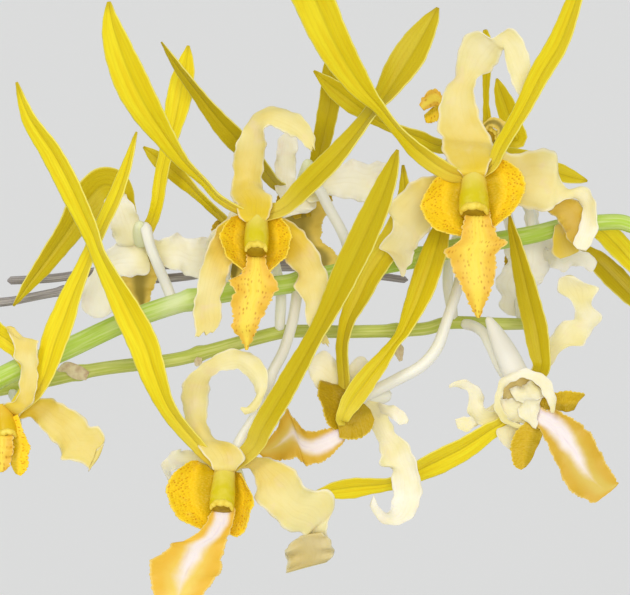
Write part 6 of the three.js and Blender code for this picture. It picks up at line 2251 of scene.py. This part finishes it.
BLOOM_J = BloomPlan(
    petals=[
        [(95.5, 39.2, 9.5, 2.6, 20), (99.5, 38.2, 7, 3.4, 20), (102.5, 40.5, 5.8, 4.4, 20),
         (105.5, 44, 5, 3.6, 20), (107.5, 47, 5, 0.4, 20)],
        [(95.5, 42, 10.4, 2.6, 25), (99, 43.2, 9, 3.4, 20), (102, 46, 8.6, 4.4, 20),
         (105.3, 49.5, 8.4, 3.6, 20), (108, 53, 8.4, 0.4, 20)],
    ],
    column=[(88, 42.6, 14.5, 1.6), (87.6, 44, 18.6, 1.6)],
    sepals=[
        Edges([(513, 242, 556, 236, 11), (503, 251, 553, 250, 10.6), (508, 262, 551, 264, 10.8, 10.4),
            (500, 273, 545, 278, 10.8), (495, 285, 537, 287, 11, 11.2), (501, 297, 538, 298, 11.4, 11.2),
            (500, 308, 532, 310, 11.6), (508, 315, 522, 317, 11.8)]),
        [(88.8, 38, 13, 2.4, 0), (88.6, 35, 13, 2.2, 0), (88.4, 32.5, 13, 1, 0)],
        Edges([(553, 250, 554, 266, 6.6), (563, 250, 564, 273, 6.2, 6.4), (573, 247, 573, 266, 6),
            (584, 251, 583, 267, 5.6, 5.8), (593, 256, 591, 272, 5.6), (597, 262, 595, 268, 5.8)]),
    ],
    lip=[(87.2, 45.4, 18.4, 2.6, 0), (86.8, 46.8, 18.4, 3.8, 0), (86.4, 48.6, 18.4, 4, 0),
        (86.2, 50.4, 18, 0.8, 0)],
    lobes=[
        [(86.8, 46.2, 18.4, 1.6, 0), (85.6, 45.2, 19.4, 2.4, 0), (85, 43.2, 20.4, 1.8, 0),
         (85.4, 42, 20.4, 0.8, 0)],
        [(87.4, 46.2, 18.4, 1.6, 0), (89, 45.2, 19.4, 2.4, 0), (89.8, 43.2, 20.4, 1.8, 0),
         (89.4, 42, 20.4, 0.8, 0)],
    ],
    stems=[
        [(90, 42, 13, 1.6), (89.8, 44.4, 12.6, 1.2), (89.6, 46.2, 12.4, 0.7)],
        [(88.6, 43, 12.8, 1), (87.2, 46.5, 12.8, 0.9), (86.6, 50, 11.6, 0.9), (86.8, 52.2, 8.8, 0.9),
         (87.2, 53.9, 7, 0.8)],
    ],
    warmth=(-0.5, -0.4), painted_petal_shades=(0.15, 0.95), look=LipLook.PLAIN, lobe_shade=0.9,
)
BLOOM_K = BloomPlan(
    petals=[
        [(81.2, 19, 25.4, 1.3, 20), (81, 16.7, 24.6, 0.8, 20), (81.1, 13.5, 23.5, 1.4, 20),
         (81.2, 9.6, 22.2, 1.8, 20), (81.2, 7, 21.2, 2, 20), (80.9, 5, 20.2, 0.8, 20)],
        [(86.2, 23.4, 26, 3.4, 20), (85.3, 20.6, 25.6, 3.8, 15), (84.3, 17.5, 24.6, 3.5, 10),
         (83.4, 15, 23.6, 2.4, 10), (82.8, 13.1, 23, 0.4, 10)],
    ],
    column=[(81.5, 22.6, 27.9, 1.4), (81.4, 22.8, 24.6, 1.4)],
    sepals=[
        [(84, 25, 30, 3.4, 0), (85.5, 28, 30.5, 2.8, 0), (86, 30.5, 30.5, 0.8, 0)],
        [(79.5, 26, 30, 3.4, 0), (79.5, 29, 30.5, 2.8, 0), (80, 31.5, 30.5, 0.8, 0)],
        [(78, 20.4, 30, 3.4, 0), (75.5, 19.7, 30.5, 2.8, 0), (73.5, 20, 30.5, 0.8, 0)],
    ],
    lip=Edges([(482, 125, 485, 131, 23.6), (488, 119, 489, 127, 23.2), (497, 118, 494, 127, 22.8),
        (505, 124, 497, 131, 22.6), (505, 134, 497, 137, 22.6), (501, 142, 496, 141, 22.6)]),
    lobes=[
    ],
    stems=[
        [(81.5, 22.6, 28.2, 1.2), (81.6, 24, 31, 1), (81.7, 25.2, 33, 0.7)],
        [(81.5, 22.6, 28.6, 1), (82.6, 28, 32, 0.9), (84.6, 36, 31, 0.9), (86.4, 44, 28, 0.9),
         (87, 50, 20, 0.9), (87, 52.6, 12, 0.9), (87, 54, 7, 0.9)],
    ],
    painted_petal_shades=(0.5, 0.5), look=LipLook.PLAIN, lobe_shade=0.9,
)
BLOOM_M = BloomPlan(
    petals=[
        [(34.2, 33.5, 18.5, 2.2, 50), (31.7, 31, 20.5, 2.6, 40), (28.7, 28.3, 22.5, 3.6, 15),
         (26, 26.2, 23.5, 2.6, 10), (23.9, 24.5, 24, 0.4, 10)],
        [(41.2, 34, 17, 2.6, 30), (42, 31, 17.5, 2.6, 20), (42.2, 27.5, 18, 2.2, 20),
         (42.2, 24.5, 18.5, 0.4, 20)],
    ],
    column=[(38.7, 37, 17, 1.4), (38.8, 38.4, 21, 1.4)],
    sepals=[
        [(40.6, 33.4, 15.5, 3, 0), (41.1, 29.8, 16, 2.8, 0), (41.5, 26.8, 16.5, 0.8, 0)],
        [(36.8, 40, 15.5, 4, 0), (36, 43, 16, 3.4, 0), (36.2, 46, 16, 0.8, 0)],
        [(40.8, 40, 15.5, 3.8, 0), (41.4, 43, 16, 3.4, 0), (41.4, 46, 16, 0.8, 0)],
    ],
    lip=[(38.8, 40.2, 20.6, 2.4, 0), (38.8, 42, 20.6, 3.6, 0), (38.9, 44, 20.6, 4, 0),
        (39, 46.6, 20, 0.8, 0)],
    lobes=[
        [(38.6, 41.2, 20.6, 1.6, 0), (36.7, 40, 21.6, 2.4, 0), (36.2, 38, 22.4, 1.8, 0),
         (36.6, 36.8, 22.4, 0.8, 0)],
        [(39, 41.2, 20.6, 1.6, 0), (40.9, 40, 21.6, 2.4, 0), (41.4, 38, 22.4, 1.8, 0),
         (41, 36.8, 22.4, 0.8, 0)],
    ],
    stems=[
        [(38.7, 37.2, 14.5, 1.4), (38.8, 39.4, 12, 1.1), (38.9, 41, 11, 0.7)],
        [(38.6, 37.2, 14, 1), (38.2, 41, 10, 0.9), (37.6, 45, 5, 0.9), (37.3, 48.8, 0.6, 0.9)],
    ],
    painted_petal_shades=(0.65, 0.65), look=LipLook.PLAIN, lobe_shade=0.9,
)
BLOOMS: dict[str, BloomPlan] = {
    "c": BLOOM_C, "d": BLOOM_D, "e": BLOOM_E, "a": BLOOM_A, "b": BLOOM_B, "f": BLOOM_F, "g": BLOOM_G,
    "h": BLOOM_H, "i": BLOOM_I, "j": BLOOM_J, "k": BLOOM_K, "m": BLOOM_M,
}


CANES = [
    LeafyCane(1, [(11, -6, 70), (13, -7, 130), (15, -8, 210), (20, -9, 285), (28, -10, 348)], 5, 0.34, 200),
    LeafyCane(2, [(-14, 6, 70), (-22, 8, 130), (-34, 12, 210), (-48, 17, 275), (-60, 22, 328)], 5, 0.3, 80),
    LeafyCane(3, [(4, 22, 70), (4, 32, 125), (2, 48, 190), (-2, 66, 250), (-6, 80, 292)], 5, 0.3, 10),
    LeafyCane(
        4, [(-10, -20, 70), (-18, -30, 120), (-30, -44, 175), (-42, -58, 220), (-50, -68, 252)], 5, 0.36, 66
    ),
    LeafyCane(5, [(24, 16, 70), (34, 24, 115), (48, 34, 165), (62, 44, 210), (72, 52, 238)], 5, 0.36, 110),
]

FRONT_START: list[Row] = [(27, -12, 322), (34, -15, 331), (50, -18, 345), (72, -20, 358), (93, -20.5, 370)]
FRONT_ROWS: list[Row] = [
    (0, 63, 0, 1.75), (10, 58.7, 0, 1.75), (21.7, 53.3, 0, 1.7), (31.7, 50, 0, 1.7), (40, 48.4, 0, 1.65),
    (48.3, 47.3, 0, 1.65), (55.8, 45.6, 0, 1.6), (68.3, 43.3, 0, 1.6), (75.8, 41.4, 0, 1.6),
    (88.3, 39.2, 0, 1.5), (94, 37.8, 0, 1.4), (102, 37, 0, 1.35), (105.3, 37.6, 0, 1.3),
    (110, 39.6, 0.5, 1.1), (113.5, 42.5, 1, 0.8),
]
BACK_START: list[Row] = [(29.5, -8.6, 335), (45, -9, 354), (63, -11, 365), (87, -12.5, 374)]
BACK_ROWS: list[Row] = [
    (0, 64.8, 7, 1.25), (7.5, 63.4, 7, 1.25), (16.7, 61.5, 7, 1.15), (28.3, 60.1, 7, 1.15),
    (34.2, 58.7, 7, 1.15), (45.8, 55.6, 7, 1.15), (50, 55.2, 7, 1.1), (58.3, 55.3, 7, 1.1),
    (70, 54.9, 7, 1.1), (75, 53.8, 7, 1.1), (83.3, 54, 7, 1.05), (90, 54, 7, 0.9),
]
OLD_START: list[Row] = [(21, -6, 294), (27, 2, 312), (42, 8, 342), (66, 9, 368), (95, 6, 388)]
OLD_LONG_ROWS: list[Row] = [
    (3, 50, 28, 0.75), (10.7, 48.5, 28, 0.75), (20, 47, 28, 0.75), (30, 46.2, 29, 0.75),
    (39, 45, 32, 0.7), (50, 44.6, 34, 0.7), (60, 45.6, 36, 0.7), (68, 46.7, 38, 0.6),
]
OLD_SHORT_ROWS: list[Row] = [
    (1.2, 46.8, 28, 0.7), (9.5, 46.3, 28, 0.75), (20, 44.7, 30, 0.75), (32, 44, 32.5, 0.75),
    (46, 43.6, 34.4, 0.6), (52, 44.7, 34.6, 0.5),
]
BUDS: list[list[Row]] = [
    [(112, 39.8, 0.5, 1), (113.5, 38, 0, 1.9), (115.5, 36, -0.5, 1.7), (117, 34.4, -1, 0.5)],
    [(113.2, 42.2, 1, 0.8), (115.5, 42.8, 0.8, 1.6), (118, 44.2, 0.4, 1.4), (119.6, 45.6, 0, 0.4)],
    [(113.4, 42.6, 1, 0.7), (114, 45, 1.4, 1.3), (114.8, 47.6, 1.8, 1.1), (115.4, 49.2, 2, 0.4)],
]

BRACTS = [
    Bract("bract_left", [
        (14.6, 62.7, 5.4, 1.5, 0), (12.8, 62, 5, 2.4, 0), (11.2, 61.2, 4.8, 2, 10),
        (9.6, 61.8, 4.8, 0.4, 10),
    ]),
    Bract("bract_middle", [(33.2, 59.6, 5.6, 0.8, 0), (33, 60.4, 5.2, 1.4, 0), (32.6, 61, 5.2, 0.4, 0)]),
    Bract("bract_right", [(65.6, 56.6, 5.6, 1.6, 0), (66.2, 58.4, 5.2, 2, 20), (66.8, 60.2, 5.2, 0.6, 20)]),
]


def build_stalks(sweep: Sweep) -> list[Piece]:
    """Makes the four stalks, their bracts and the buds.

    Args:
        sweep: Makes round stems.

    Returns:
        The pieces.
    """
    green = StalkFinish("stalk_green", colour("b2cf4a"), colour("cbdd82"), colour("e4e8c6"))
    pale = StalkFinish("stalk_yellow_green", colour("b9c352"), colour("d2d67e"), colour("9cb046"))
    grey = StalkFinish("stalk_grey", colour("8b8480"), colour("b5aea8"), colour("6b4a36"), 0.75, 14, 140)
    old, front, back = (finish.material() for finish in (grey, green, pale))
    stalks = [
        FlowerStalk("front_flower_stalk", FRONT_START, FRONT_ROWS, front, joints=(31.7, 50, 70, 96)),
        FlowerStalk("back_flower_stalk", BACK_START, BACK_ROWS, back, joints=(13, 33, 66)),
        FlowerStalk("old_stalk_long", OLD_START, OLD_LONG_ROWS, old, Slot.OLD_STALK, joints=(9.5, 40)),
        FlowerStalk("old_stalk_short", [], OLD_SHORT_ROWS, old, Slot.OLD_STALK, 0, joints=(24,)),
    ]
    pieces = [stalk.build(sweep) for stalk in stalks]
    dry = PlainFinish("bract_dry", colour("e0d2ae"), colour("c0a584"), 0.7, 700.0).material()
    pieces += [bract.build(dry) for bract in BRACTS]
    tint = PlainFinish("bud_green", colour("b4b93c"), colour("d6cf62"), 0.45, 300.0).material()
    for number, rows in enumerate(BUDS, 1):
        skin = Skin(f"bud_{number}_fine")
        add_stem(skin, rows, 0, 0, 24, 0.03)
        pieces.append(dress(skin.build([tint]), Slot.STALK, f"bud_{number}"))
    return pieces


def build_pot() -> list[Piece]:
    """Makes the pot and its bark."""
    pot = Pot()
    bark = PlainFinish("bark", colour("6d4a2e"), colour("3d2818"), 0.9, 160.0, 0.0, 0.0012)
    return [pot.build(ClayFinish().material()), *BarkMix(pot).build(Chips(), bark.material())]


def build_canes(sweep: Sweep) -> list[Piece]:
    """Makes the canes with their leaves.

    Args:
        sweep: Makes round stems.

    Returns:
        The pieces.
    """
    sheath = StalkFinish("cane_skin", colour("7f8f3c"), colour("b6a45e"), colour("cfc39a"), 0.42, 8, 50, 0.8)
    bark, green = sheath.material(), LeafFinish().material()
    return [piece for cane in CANES for piece in cane.build(sweep, bark, green)]


def build_blooms() -> list[Piece]:
    """Makes the blooms."""
    wardrobe = Wardrobe()
    return [piece for letter, plan in BLOOMS.items() for piece in Bloom(letter, plan, wardrobe).build()]


def main() -> None:
    """Builds and dresses everything, and reports each piece."""
    logging.basicConfig(level=logging.INFO)
    sweep = Sweep()
    for piece in (*build_pot(), *build_canes(sweep), *build_stalks(sweep), *build_blooms()):
        LOG.info("%s has %d faces", piece.name, len(piece.data.polygons))
    Studio().build()
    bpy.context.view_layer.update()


if __name__ == "__main__":
    main()
